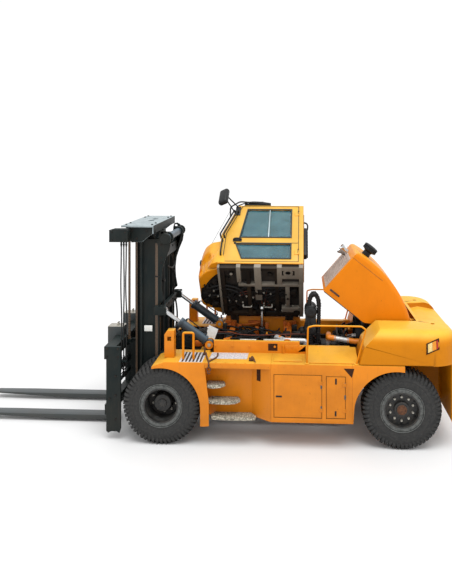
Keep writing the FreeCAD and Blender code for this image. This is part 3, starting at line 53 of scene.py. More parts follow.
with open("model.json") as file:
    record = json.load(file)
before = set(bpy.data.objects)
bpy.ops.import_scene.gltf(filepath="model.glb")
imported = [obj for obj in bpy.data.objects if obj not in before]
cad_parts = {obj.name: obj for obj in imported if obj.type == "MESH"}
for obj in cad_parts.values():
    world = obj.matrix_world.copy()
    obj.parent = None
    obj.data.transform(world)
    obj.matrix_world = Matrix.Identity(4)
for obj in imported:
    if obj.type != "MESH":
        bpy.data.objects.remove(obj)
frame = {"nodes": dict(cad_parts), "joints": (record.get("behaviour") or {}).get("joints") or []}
NODES = frame["nodes"]
JOINTS = {joint["name"]: joint for joint in frame["joints"]}
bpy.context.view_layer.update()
ORIGIN = Vector((JOINTS["mast_tilt"]["pos_m"][0], JOINTS["mast_tilt"]["pos_m"][1], 0.0))

WHEELBASE = 3.44
TYRE_R = 0.5625
BODY_HALF = 1.26
DECK_Z = 1.205
CAB_HALF = 0.6
CAB_REAR_X = -2.05
HOOD_HALF = 0.55
OPEN_CAB_DEG = 55.0
OPEN_HOOD_DEG = -38.0
PAN_Z = 1.4185
CAB_FLOOR_Z = 1.4603
ENGINE_TOP_Z = 1.12
CHAIN_X, CHAIN_Y = 0.6765, 0.45
HOSE_XS, HOSE_Y = (0.596, 0.634, 0.672), 0.905
TILT_EYE_HALF = 0.0705
NOSE_ROUND = 0.095
CAB_TOP_Z = 2.905
FRONT_OUT, REAR_OUT = 1.235, 1.2
TUBE_X, TUBE_Z = 0.075, 2.88
ROD_X, UPPER_ROD_Z, LOWER_ROD_Z = 0.79, 0.9, 0.7
WELD, NODE_WELD = 0.00005, 0.00002
SIDES = (("left", 1), ("right", -1))
AHEAD, LEFT, UP = (1, 0, 0), (0, 1, 0), (0, 0, 1)

LENS_MM = 38.4966
LENS_SHIFT = (-0.07, -0.233)
CAMERA_PLACE = (-1.5427, 10.393, 4.1565)
CAMERA_TURN = (math.pi / 2, 0, math.pi + 0.0587)
FLOOR_SIZE = 45.0
SKY_POWER, SOFTBOX_POWER, SOFTBOX_DEG = 1.02, 2.2, 40


def colour(text):
    """An sRGB hex colour as linear red, green, blue and full alpha."""
    parts = [int(text[i:i + 2], 16) / 255 for i in (1, 3, 5)]
    return tuple(p / 12.92 if p <= 0.04045 else ((p + 0.055) / 1.055) ** 2.4 for p in parts) + (1.0,)


# ------------------------------------------------------------------ settings
class ForkliftSizes(bpy.types.PropertyGroup):
    """Sizes that a user may change."""
    lug_count: bpy.props.IntProperty(name="Tread lugs", description="Lugs on each shoulder of a tyre",
        default=54, min=20)
    lug_height: bpy.props.FloatProperty(name="Lug height", description="Height of the tread lugs",
        default=0.024, unit="LENGTH", subtype="DISTANCE")
    bolt_circle: bpy.props.FloatProperty(name="Bolt circle",
        description="Radius of the ring of wheel nuts", default=0.1675, unit="LENGTH", subtype="DISTANCE")
    chain_pitch: bpy.props.FloatProperty(name="Chain pitch", description="Pitch of the lift chains",
        default=0.0381, unit="LENGTH", subtype="DISTANCE")
    hose_radius: bpy.props.FloatProperty(name="Hose radius", description="Outer radius of the mast hoses",
        default=0.01, unit="LENGTH", subtype="DISTANCE")
    body_edge: bpy.props.FloatProperty(name="Sheet edge",
        description="Rounding of the body's sheet edges", default=0.005, unit="LENGTH",
        subtype="DISTANCE")
    cast_edge: bpy.props.FloatProperty(name="Cast edge",
        description="Rounding of the counterweight's edges", default=0.022, unit="LENGTH",
        subtype="DISTANCE")


class ForkliftColours(bpy.types.PropertyGroup):
    """Colours that a user may change."""
    paint: bpy.props.FloatVectorProperty(name="Paint", description="Orange enamel on upright faces",
        size=3, subtype="COLOR", default=colour("#D07A0C")[:3], min=0, max=1)
    # colour of upward faces: sun-bleached paint together with painted light from above
    faded_and_lit: bpy.props.FloatVectorProperty(name="Faded paint",
        description="The enamel where the sun has bleached it", size=3, subtype="COLOR",
        default=colour("#D39A2E")[:3], min=0, max=1)
    mast: bpy.props.FloatVectorProperty(name="Mast paint", description="Dark green enamel on the mast",
        size=3, subtype="COLOR", default=colour("#0E1818")[:3], min=0, max=1)


# ------------------------------------------------------------------ mesh helpers
def turned_about(joint, degrees, axis):
    """The matrix that swings a closed piece about a joint to where it stands."""
    pivot = Matrix.Translation(Vector(JOINTS[joint]["pos_m"]))
    return pivot @ Matrix.Rotation(math.radians(degrees), 4, axis) @ pivot.inverted()


CAB = turned_about("cab_tilt", OPEN_CAB_DEG, "X")
HOOD = turned_about("hood_lift", OPEN_HOOD_DEG, "Y")
# bodies whose pieces are drawn closed and swung to where they stand
SWUNG = {"cab": CAB, "cab_door": CAB, "hood": HOOD}


def linked(verts):
    """The edges that meet some vertices."""
    return list({e for v in verts for e in v.link_edges})


def verts_of(geometry):
    """The vertices among mixed geometry."""
    return [g for g in geometry if isinstance(g, bmesh.types.BMVert)]


def added(bm, make):
    """The vertices, edges and faces that make() adds."""
    before = set(bm.verts)
    make()
    new = [v for v in bm.verts if v not in before]
    return new + linked(new) + list({f for v in new for f in v.link_faces})


def rounded(bm, edges, width, segments=2, clamp=True):
    """Edges bevelled to a given width."""
    bmesh.ops.bevel(bm, geom=edges, offset=width, offset_type="OFFSET", affect="EDGES", segments=segments,
        profile=0.5, material=-1, clamp_overlap=clamp)


def pulled(bm, faces, thick, keep=False):
    """Faces thickened along a vector; the vertices that moved come back."""
    made = bmesh.ops.extrude_face_region(bm, geom=faces, use_keep_orig=keep)
    top = verts_of(made["geom"])
    bmesh.ops.translate(bm, verts=top, vec=Vector(thick))
    return top


def mesh_of(name, bm):
    """The working mesh as a finished one; the working mesh is left empty for the next piece."""
    mesh = bpy.data.meshes.new(name)
    bm.to_mesh(mesh)
    bm.clear()
    return mesh


def object_of(name, data):
    """An object in the scene."""
    obj = bpy.data.objects.new(name, data)
    bpy.context.scene.collection.objects.link(obj)
    return obj


def cube(bm, centre, size, turn=None):
    """A box of a given size round a centre; its vertices come back."""
    place = Matrix.Translation(centre) @ Matrix.Diagonal((*size, 1))
    return bmesh.ops.create_cube(bm, size=1.0, matrix=(turn @ place) if turn else place)["verts"]


def block(bm, x0, x1, y0, y1, z0, z1, edge=0.0, turn=None, segments=2):
    """A box between two corners, with its edges rounded by edge."""
    low, high = Vector((x0, y0, z0)), Vector((x1, y1, z1))
    verts = cube(bm, (low + high) / 2, [abs(length) for length in high - low], turn)
    if edge:
        rounded(bm, linked(verts), edge, segments)


def bar(bm, start, end, radius, sides=14, end_radius=None):
    """A round bar, or a cone, from one point to another."""
    start, end = Vector(start), Vector(end)
    run = end - start
    place = Matrix.Translation((start + end) / 2) @ run.to_track_quat("Z", "Y").to_matrix().to_4x4()
    made = bmesh.ops.create_cone(bm, cap_ends=True, cap_tris=False, segments=sides, radius1=radius,
        radius2=radius if end_radius is None else end_radius, depth=run.length, matrix=place)
    return made["verts"]


def plate(bm, outline, thick, edge=0.0):
    """A flat outline of points, thickened along a vector."""
    face = bm.faces.new([bm.verts.new(p) for p in outline])
    top = pulled(bm, [face], thick)
    if edge:
        rounded(bm, linked(top), edge)


def lathe(bm, profile, centre, axis, steps=48, closed=False):
    """A profile of (radius, distance along the axis) points, spun about the axis."""
    axis, centre = Vector(axis).normalized(), Vector(centre)
    side = axis.orthogonal().normalized()
    verts = [bm.verts.new(centre + side * r + axis * a) for r, a in profile]
    pairs = list(zip(verts, verts[1:])) + ([(verts[-1], verts[0])] if closed else [])
    edges = [bm.edges.new(pair) for pair in pairs]
    bmesh.ops.spin(bm, geom=verts + edges, cent=centre, axis=axis, dvec=(0, 0, 0), angle=math.tau,
        steps=steps, use_merge=True, use_duplicate=False)


def band(inner, outer, start, end):
    """The profile of a flat ring, for lathe."""
    return [(inner, start), (outer, start), (outer, end), (inner, end)]


def ring_of(bm, count, centre, axis, make):
    """What make() adds, repeated count times around an axis."""
    bmesh.ops.spin(bm, geom=added(bm, make), cent=Vector(centre), axis=Vector(axis), dvec=(0, 0, 0),
        angle=math.tau * (count - 1) / count, steps=count - 1, use_duplicate=True)


def row_of(bm, count, step, make):
    """What make() adds, repeated count times in a row."""
    geometry = added(bm, make)
    for i in range(1, count):
        copy = bmesh.ops.duplicate(bm, geom=geometry)
        bmesh.ops.translate(bm, verts=verts_of(copy["geom"]), vec=Vector(step) * i)


def row_of_blocks(bm, count, step, *sides):
    """A row of equal blocks."""
    row_of(bm, count, step, lambda: block(bm, *sides))


def both(bm, make):
    """What make() adds, and its mirror image across the middle plane."""
    copy = bmesh.ops.duplicate(bm, geom=added(bm, make))
    bmesh.ops.scale(bm, vec=(1, -1, 1), verts=verts_of(copy["geom"]))
    bmesh.ops.reverse_faces(bm, faces=[g for g in copy["geom"] if isinstance(g, bmesh.types.BMFace)])


def tube(bm, points, radius, sides=4, order=3):
    """A hose or bent pipe along one smooth line."""
    data = bpy.data.curves.new("line", "CURVE")
    data.dimensions = "3D"
    data.bevel_depth = radius
    data.bevel_resolution = sides
    data.use_fill_caps = True
    data.resolution_u = 8
    line = data.splines.new("NURBS")
    line.points.add(len(points) - 1)
    for point, place in zip(line.points, points):
        point.co = (*place, 1.0)
    line.order_u = order
    line.use_endpoint_u = True
    carrier = bpy.data.objects.new("line", data)
    mesh = bpy.data.meshes.new_from_object(carrier)
    bm.from_mesh(mesh)
    bpy.data.meshes.remove(mesh)
    bpy.data.objects.remove(carrier)
    bpy.data.curves.remove(data)


def bent(bm, corners, radius, bend, sides=4):
    """A round bar with straight runs and rounded corners."""
    corners = [Vector(c) for c in corners]
    points = [corners[0]]
    for before, here, after in zip(corners, corners[1:], corners[2:]):
        back, on = (before - here), (after - here)
        points += [here + back.normalized() * min(bend, back.length * 0.45), here,
            here + on.normalized() * min(bend, on.length * 0.45)]
    points.append(corners[-1])
    tube(bm, points, radius, sides)


def bolt(bm, place, axis, radius=0.012, height=0.009):
    """A hexagon bolt head on a washer."""
    place, axis = Vector(place), Vector(axis).normalized()
    washer = 0.003
    bar(bm, place - axis * 0.002, place + axis * washer, radius * 1.35, 12)
    bar(bm, place, place + axis * (height + washer), radius, 6)


def piece(name, bm, material, body, nodes=(), smooth=35.0, moved=True):
    """Finish a mesh as one piece that rides on a body and may stand for CAD nodes."""
    bmesh.ops.remove_doubles(bm, verts=bm.verts, dist=WELD)
    if moved:
        bmesh.ops.transform(bm, matrix=Matrix.Translation(ORIGIN), verts=bm.verts)
        if body in SWUNG:
            bmesh.ops.transform(bm, matrix=SWUNG[body], verts=bm.verts)
    bmesh.ops.recalc_face_normals(bm, faces=bm.faces)
    limit = math.radians(smooth)
    for face in bm.faces:
        face.smooth = True
    for edge in bm.edges:
        edge.smooth = len(edge.link_faces) == 2 and edge.calc_face_angle(0.0) < limit
    mesh = mesh_of(name, bm)
    mesh.materials.append(bpy.data.materials[material])
    obj = object_of(name, mesh)
    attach(obj, body)
    if nodes:
        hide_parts(*nodes)
    return obj


def merged_copy(node):
    """A CAD node's mesh with its facets merged into flat faces."""
    bm = bmesh.new()
    bm.from_mesh(NODES[node].data)
    bmesh.ops.remove_doubles(bm, verts=bm.verts, dist=NODE_WELD)
    bmesh.ops.dissolve_limit(bm, angle_limit=math.radians(1.0), verts=bm.verts, edges=bm.edges)
    return bm


def softened(node, width, material, body, segments=2, least=0.03, name=None, angle=28.0):
    """A merged copy of a CAD node with its long sharp edges rounded, standing for the node."""
    bm = merged_copy(node)
    sharp = [e for e in bm.edges if len(e.link_faces) == 2 and e.calc_length() > least
        and e.calc_face_angle(0.0) > math.radians(angle)]
    if width:
        rounded(bm, sharp, width, segments, clamp=False)
    bmesh.ops.triangulate(bm, faces=[f for f in bm.faces if len(f.verts) > 4])
    return piece(name or node + "_skin", bm, material, body, [node], moved=False)


# ------------------------------------------------------------------ materials
def node(material, kind, inputs=None, stops=None, **settings):
    """Add a node with its settings, values, hex colours and links."""
    made = material.node_tree.nodes.new("ShaderNode" + kind)
    for key, value in settings.items():
        setattr(made, key, value)
    for key, value in (inputs or {}).items():
        if isinstance(value, str):
            value = colour(value)
        if isinstance(value, bpy.types.NodeSocket):
            material.node_tree.links.new(value, made.inputs[key])
        else:
            made.inputs[key].default_value = value
    if stops:
        ramp = made.color_ramp.elements
        ramp[0].position, ramp[0].color = stops[0]
        ramp[1].position, ramp[1].color = stops[-1]
        for place, shade in stops[1:-1]:
            ramp.new(place).color = shade
    return made


def blank(name, **shader_values):
    """A new material with its shader, object coordinates and finished output link."""
    material = bpy.data.materials.new(name)
    material.use_nodes = True
    material.node_tree.nodes.clear()
    names = {key.replace("_", " "): value for key, value in shader_values.items()}
    shader = node(material, "BsdfPrincipled", names)
    node(material, "OutputMaterial", {"Surface": shader.outputs[0]})
    coords = node(material, "TexCoord")
    return material, shader, coords


def feed(material, shader, name, output):
    """Link an output to one of the shader's inputs."""
    material.node_tree.links.new(output, shader.inputs[name])


def blend(material, factor, low, high):
    """The colour low turning to high as factor goes from 0 to 1."""
    return node(material, "Mix", {0: factor, 6: low, 7: high}, data_type="RGBA").outputs[2]


def speckle(material, coords, size, low, high, detail=4.0, stretch=(1, 1, 1), kind="Object"):
    """Noise with spots about size metres across, as a factor from 0 below low to 1 above high."""
    mapped = node(material, "Mapping", {"Vector": coords.outputs[kind], "Scale": stretch})
    noise = node(material, "TexNoise",
        {"Vector": mapped.outputs[0], "Scale": 1.0 / size, "Detail": detail, "Roughness": 0.6})
    ranged = node(material, "MapRange", {"Value": noise.outputs[0], "From Min": low, "From Max": high})
    return ranged.outputs[0]


def relief(material, shader, height, depth, strength=0.4):
    """Bump from a height factor, depth metres deep."""
    bump = node(material, "Bump", {"Height": height, "Distance": depth, "Strength": strength})
    feed(material, shader, "Normal", bump.outputs[0])


def times(material, a, b):
    """Two factors multiplied."""
    return node(material, "Math", {0: a, 1: b}, operation="MULTIPLY").outputs[0]


def enamel(name, upright, faded_and_lit, dirt, dirt_share=0.3, roughness=0.42, streak=0.12, low_dust=0.12,
        specular=0.3, lift=0.3):
    """Alkyd enamel sprayed on steel plate: lighter on faces that look up (sun-bleached, and painted light
    from above), grimy in patches and streaks, and dusted near the ground. lift is how far up a face must
    look to be lighter."""
    material, shader, coords = blank(name, Roughness=roughness, IOR=1.5, Specular_IOR_Level=specular)
    # faces that look up blend to the second colour: partly sun-bleaching, partly painted light from above
    axes = node(material, "SeparateXYZ", {0: coords.outputs["Normal"]})
    up = node(material, "MapRange", {"Value": axes.outputs["Z"], "From Min": lift, "From Max": 0.92},
        interpolation_type="SMOOTHSTEP").outputs[0]
    base = blend(material, up, upright, faded_and_lit)
    # patches of road film, about 450 mm across
    patch = times(material, speckle(material, coords, 0.45, 0.42, 0.75), dirt_share)
    base = blend(material, patch, base, dirt)
    # runs of dirty water, 25 mm wide and ten times as long
    runs = times(material, speckle(material, coords, 0.25, 0.55, 0.78, 3.0, (10, 10, 1)), streak)
    base = blend(material, runs, base, dirt)
    # small scuffs and chips, 12 mm across
    chips = times(material, speckle(material, coords, 0.03, 0.7, 0.76, 2.0), 0.5)
    base = blend(material, chips, base, dirt)
    height = node(material, "SeparateXYZ", {0: coords.outputs["Object"]}).outputs["Z"]
    near = node(material, "MapRange", {"Value": height, "From Min": 1.0, "From Max": 0.35}).outputs[0]
    near = times(material, near, low_dust)
    base = blend(material, near, base, dirt)
    feed(material, shader, "Base Color", base)
    gloss = node(material, "MapRange", {"Value": patch, "To Min": roughness, "To Max": roughness + 0.25})
    feed(material, shader, "Roughness", gloss.outputs[0])
    # the slow waviness of rolled plate and thick paint, 60 mm across
    relief(material, shader, speckle(material, coords, 0.06, 0.0, 1.0, 2.0), 0.002, 0.15)
    return material


def plain(name, base, spot, spot_size, roughness, metallic=0.0, share=0.6, bump=0.0, bump_size=0.01,
        low=0.4, high=0.7, **more):
    """A finish with one colour and spots of a second, and a fine relief."""
    material, shader, coords = blank(name, Roughness=roughness, Metallic=metallic, **more)
    factor = times(material, speckle(material, coords, spot_size, low, high), share)
    feed(material, shader, "Base Color", blend(material, factor, base, spot))
    gloss = node(material, "MapRange",
        {"Value": factor, "To Min": roughness, "To Max": min(1.0, roughness + 0.3)})
    feed(material, shader, "Roughness", gloss.outputs[0])
    if bump:
        relief(material, shader, speckle(material, coords, bump_size, 0.2, 0.8, 3.0), bump, 0.5)
    return material


def make_materials(tints):
    """Every finish on the machine."""
    grime = "#6A3A08"
    # the second colour of each enamel is its upward faces: partly sun-bleaching, partly painted light from
    # above
    enamel("orange enamel", (*tints.paint, 1), (*tints.faded_and_lit, 1), grime)
    # the cast weight is cleaner than the low panels, and the hood is a fresher orange; the weight's upright
    # orange is also darker, a painted shade that offsets the stronger light on its sides
    enamel("bright enamel", "#D27C06", "#D8A63C", grime, 0.2, 0.42, 0.08, 0.0, 0.16, 0.25)
    enamel("cast weight enamel", "#C07402", "#DCAA38", grime, 0.2, 0.42, 0.08, 0.0, 0.14, 0.25)
    enamel("hood enamel", "#D27604", "#DA9420", grime, 0.15, 0.4, 0.06, 0.0, 0.14, 0.5)
    enamel("cab enamel", "#D98E16", "#D2A23C", grime, 0.2, 0.36, 0.08, 0.0, 0.35, 0.2)
    enamel("nose enamel", "#DE8A0E", "#DDA62C", grime, 0.15, 0.34, 0.05, 0.0, 0.4, 0.45)
    enamel("mast enamel", (*tints.mast, 1), "#1B2525", "#39332B", 0.35, 0.45, 0.35, 0.1, 0.2)
    enamel("underbody enamel", "#1B1816", "#2C2723", "#4A3A2A", 0.5, 0.55, 0.3, 0.3, 0.15)
    enamel("worn frame paint", "#7C756A", "#8A8377", "#3A3028", 0.45, 0.5, 0.3, 0.0, 0.3)
    enamel("fork enamel", "#2C3436", "#384145", "#4A423A", 0.4, 0.42, 0.15, 0.2, 0.4)
    enamel("barrel enamel", "#27323A", "#4A5A66", "#3A3028", 0.3, 0.35, 0.1, 0.0, 0.4)
    # engine paint that heat and oil have browned
    enamel("engine enamel", "#B85810", "#C46A18", "#3A1E0C", 0.7, 0.5, 0.3, 0.0, 0.25)
    # hot-rolled plate with thin grey primer: dull, slightly mottled
    plain("grey primer", "#98A3A6", "#707B7F", 0.12, 0.5, share=0.7)
    # hard chromed rod: mirror-like with a film of oil
    plain("hard chrome", "#C9CBCC", "#8F9191", 0.05, 0.14, 1.0, 0.5)
    # carbon-black tyre rubber with grey dust in the hollows
    plain("tyre rubber", "#2A2A2A", "#4C4B48", 0.03, 0.75, share=0.35, bump=0.003, bump_size=0.012,
        Specular_IOR_Level=0.25)
    # black wheel enamel under brake dust
    plain("wheel enamel", "#1C1D1E", "#48433C", 0.05, 0.4, share=0.6, Specular_IOR_Level=0.4)
    # steel rim flange, scraped bright by tyre irons
    plain("rim steel", "#5E605E", "#232423", 0.04, 0.35, 0.6, 0.7)
    # bare iron casting that has rusted on the hub
    plain("rusted iron", "#5E3A22", "#2A1E16", 0.03, 0.85, share=0.8, bump=0.002, bump_size=0.01)
    # sand-cast iron, painted black and oily
    plain("cast iron", "#141414", "#3A3128", 0.05, 0.5, 0.1, 0.6, bump=0.002, bump_size=0.012,
        Specular_IOR_Level=0.25)
    # hot-dip galvanised and worn bright on its edges
    plain("galvanised steel", "#B9B5AA", "#77716A", 0.03, 0.4, 0.5, 0.6)
    # zinc-coated step grating, dulled by boots
    plain("zinc grating", "#BDB6A2", "#4A453C", 0.014, 0.6, 0.0, 0.95, bump=0.003, bump_size=0.012,
        low=0.4, high=0.56)
    # zinc tread plate on the decks
    plain("zinc tread", "#C9C6C8", "#86868C", 0.02, 0.5, 0.1, 0.7)
    # bright anodised aluminium window channel
    plain("window channel", "#AEB8B8", "#7A8688", 0.02, 0.4, 0.4, 0.4)
    # beige primer on the louvred grille
    plain("hood grille paint", "#B9A79C", "#8A786C", 0.08, 0.55, share=0.6)
    # brown-black for panel gaps, and painted shade inside holes, slots and lamp recesses
    plain("gap paint and recess shade", "#3A1E0C", "#1E120A", 0.03, 0.7, share=0.6, Specular_IOR_Level=0.2)
    # rolled aluminium sheet
    plain("aluminium sheet", "#CFCFCD", "#8E9090", 0.04, 0.35, 0.55, 0.6)
    # moulded black polypropylene
    plain("black plastic", "#101112", "#26282A", 0.04, 0.42, share=0.5, bump=0.0006, bump_size=0.006,
        Specular_IOR_Level=0.3)
    # extruded nitrile hose rubber
    plain("hose rubber", "#0C0C0D", "#2A2826", 0.04, 0.5, share=0.5, Specular_IOR_Level=0.3)
    # soft sealing rubber round the panes
    plain("seal rubber", "#18211F", "#2E3A38", 0.06, 0.6, share=0.5)
    # orange silicone hose
    plain("silicone rubber", "#DE8218", "#B45A10", 0.03, 0.4, share=0.5)
    # wires in brown-red cloth tape
    plain("wire tape", "#6E3320", "#3A2018", 0.015, 0.7, share=0.7)
    # white enamelled blank plate
    plain("white enamel plate", "#E4E6E3", "#B9BCB8", 0.04, 0.4, share=0.4)
    # moulded lens plastics
    plain("red lens", "#8E0E0A", "#B8281C", 0.012, 0.15, share=0.5)
    plain("amber lens", "#C8780E", "#E8A834", 0.012, 0.15, share=0.5)
    plain("clear lens", "#C9A85E", "#F0DCA2", 0.02, 0.12, share=0.6)
    # bearing grease, brown where it has caught dust
    plain("old grease", "#5B4632", "#2A211A", 0.02, 0.3, share=0.7, bump=0.002, bump_size=0.01)
    # black silicon-carbide grit on sheet
    plain("grit strip", "#2A2018", "#5B4022", 0.012, 0.95, share=0.7, bump=0.001, bump_size=0.006)
    # grey fibre lining of the cab
    plain("cab lining", "#2C2E2F", "#45484A", 0.02, 0.9, share=0.6, bump=0.001, bump_size=0.008)
    # near-black on the cab floor pan, dusty in spots: partly an underside coating, partly painted shade of
    # the recesses between the floor bars
    plain("underside coating and shade", "#171310", "#3A3028", 0.1, 0.8, share=0.6, bump=0.002, bump_size=0.02)
    pane_glass()
    seat_cloth()


def pane_glass():
    """Toughened float glass with a green-blue solar tint: clear, thin and mirror-smooth."""
    material, shader, coords = blank("tinted glass", Base_Color="#4E8E9E", Roughness=0.03, IOR=1.45,
        Transmission_Weight=0.55, Alpha=0.62)
    # a film of dust in cloudy patches, 200 mm across
    film = speckle(material, coords, 0.2, 0.35, 0.85)
    haze = node(material, "MapRange", {"Value": film, "To Min": 0.02, "To Max": 0.14})
    feed(material, shader, "Roughness", haze.outputs[0])
    shade = blend(material, film, "#2F7284", "#5B9AAA")
    feed(material, shader, "Base Color", shade)


def seat_cloth():
    """Woven grey-black polyester seat cloth: threads about 16 mm apart, much coarser than real."""
    material, shader, coords = blank("woven seat cloth", Roughness=0.9, Sheen_Weight=0.4,
        Sheen_Roughness=0.5)
    mapped = node(material, "Mapping", {"Vector": coords.outputs["Object"], "Scale": (1.0, 1.0, 1.0)})
    waves = {"Vector": mapped.outputs[0], "Scale": 20.0, "Distortion": 0.4}
    warp, weft = [node(material, "TexWave", waves, bands_direction=way).outputs[1] for way in "XY"]
    weave = node(material, "Math", {0: warp, 1: weft}, operation="MAXIMUM").outputs[0]
    shade = blend(material, weave, "#17191B", "#3A3E42")
    feed(material, shader, "Base Color", shade)
    relief(material, shader, weave, 0.001, 0.6)


def finish_node(names, material):
    """Give CAD nodes that stay a finish."""
    for name in names.split():
        target = NODES[name]
        target.data.materials.clear()
        target.data.materials.append(bpy.data.materials[material])


# ------------------------------------------------------------------ stage
def lamp(name, place, aim, size, power, shade="#FFFFFF"):
    """A soft rectangular studio light that looks at a point."""
    data = bpy.data.lights.new(name, "AREA")
    data.shape = "RECTANGLE"
    data.size, data.size_y = size
    data.energy = power
    data.color = colour(shade)[:3]
    obj = object_of(name, data)
    obj.location = place
    obj.rotation_euler = (Vector(aim) - Vector(place)).to_track_quat("-Z", "Y").to_euler()


def make_stage():
    """Plain pale floor, soft studio light, camera."""
    # seamless matt paper: almost white, no gloss
    plain("studio paper", "#D2D2D2", "#CECECE", 1.5, 0.95, share=0.5, Specular_IOR_Level=0.0)
    bm = bmesh.new()
    bmesh.ops.create_grid(bm, x_segments=2, y_segments=2, size=FLOOR_SIZE)
    mesh = mesh_of("floor", bm)
    mesh.materials.append(bpy.data.materials["studio paper"])
    floor = object_of("floor", mesh)
    world = bpy.data.worlds.new("studio")
    world.use_nodes = True
    world.node_tree.nodes["Background"].inputs["Color"].default_value = colour("#FFFFFF")
    world.node_tree.nodes["Background"].inputs["Strength"].default_value = SKY_POWER
    bpy.context.scene.world = world
    # a very large overhead softbox, as a sun with a wide angle, and two weak panels for the gloss
    sun = bpy.data.lights.new("softbox", "SUN")
    sun.energy = SOFTBOX_POWER
    sun.angle = math.radians(SOFTBOX_DEG)
    obj = object_of("softbox", sun)
    obj.rotation_euler = Vector((0.1, -0.3, -1.0)).to_track_quat("-Z", "Y").to_euler()
    aim = (-0.6, 0.0, 1.2)
    lamp("front", (7.0, 9.0, 6.0), aim, (4, 4), 140)
    lamp("rear", (-9.0, 7.0, 5.0), aim, (4, 4), 110)
    bpy.context.scene.view_settings.view_transform = "Standard"
    data = bpy.data.cameras.new("camera")
    data.lens = LENS_MM
    data.shift_x, data.shift_y = LENS_SHIFT
    data.clip_end = 200
    camera = object_of("camera", data)
    camera.location = CAMERA_PLACE
    camera.rotation_euler = CAMERA_TURN
    bpy.context.scene.camera = camera


# ------------------------------------------------------------------ pieces
def lug_tyre(bm, x, y_out, sign, sizes):
    """One industrial tyre: a carcass with ribbed walls and two rows of deep shoulder lugs."""
    r, bead, y_in = TYRE_R, 0.2543, y_out - 0.31
    deep = sizes.lug_height
    wall = [(bead, 0.03), (bead + 0.02, 0.014), (bead + 0.045, 0.007), (bead + 0.052, 0.002),
        (bead + 0.06, 0.006), (bead + 0.105, 0.001), (bead + 0.15, 0.0), (bead + 0.156, 0.004),
        (bead + 0.166, 0.0), (r - 0.075, 0.01), (r - deep - 0.016, 0.026), (r - deep, 0.062)]
    profile = [(a, sign * (y_in + b)) for a, b in wall] + [(a, sign * (y_out - b))
        for a, b in reversed(wall)]
    lathe(bm, profile, (x, 0, r), LEFT, 72, closed=True)
    middle = (y_in + y_out) / 2
    turn = math.tau / sizes.lug_count / 2
    for edge, way, shift in ((y_out, 1, 0.0), (y_in, -1, turn)):
        def lug():
            section = [(middle - way * 0.012, -0.001), (edge - way * 0.06, 0.0),
                (edge - way * 0.024, -0.012), (edge - way * 0.001, -0.06), (edge - way * 0.004, -0.095),
                (edge - way * 0.03, -0.095), (edge - way * 0.06, -deep - 0.006),
                (middle - way * 0.012, -deep - 0.006)]
            outline = [(x - 0.018, sign * y, 2 * r + z) for y, z in section]
            new = verts_of(added(bm, lambda: plate(bm, outline, (0.036, 0, 0))))
            spin = Matrix.Rotation(way * sign * 0.22, 3, "Z")
            bmesh.ops.rotate(bm, verts=new, cent=(x, sign * edge, r), matrix=spin)
            bmesh.ops.rotate(bm, verts=new, cent=(x, 0, r), matrix=Matrix.Rotation(shift, 3, "Y"))
        ring_of(bm, sizes.lug_count, (x, 0, r), LEFT, lug)


class FORKLIFT_OT_tyres(bpy.types.Operator):
    """Treaded tyres: two on each drive hub and one on each steered hub"""
    bl_idname = "forklift.tyres"
    bl_label = "Tyres"

    def execute(self, context):
        sizes = context.scene.forklift_sizes
        for side, sign in SIDES:
            for x, outs, name, body in ((0.0, (FRONT_OUT, 0.87), "front_tyres_", "front_wheels_"),
                    (-WHEELBASE, (REAR_OUT,), "rear_tyre_", "rear_wheel_")):
                bm = bmesh.new()
                for y_out in outs:
                    lug_tyre(bm, x, y_out, sign, sizes)
                piece(name + side + "_tread", bm, "tyre rubber", body + side, [name + side],
                    smooth=30)
        return {"FINISHED"}


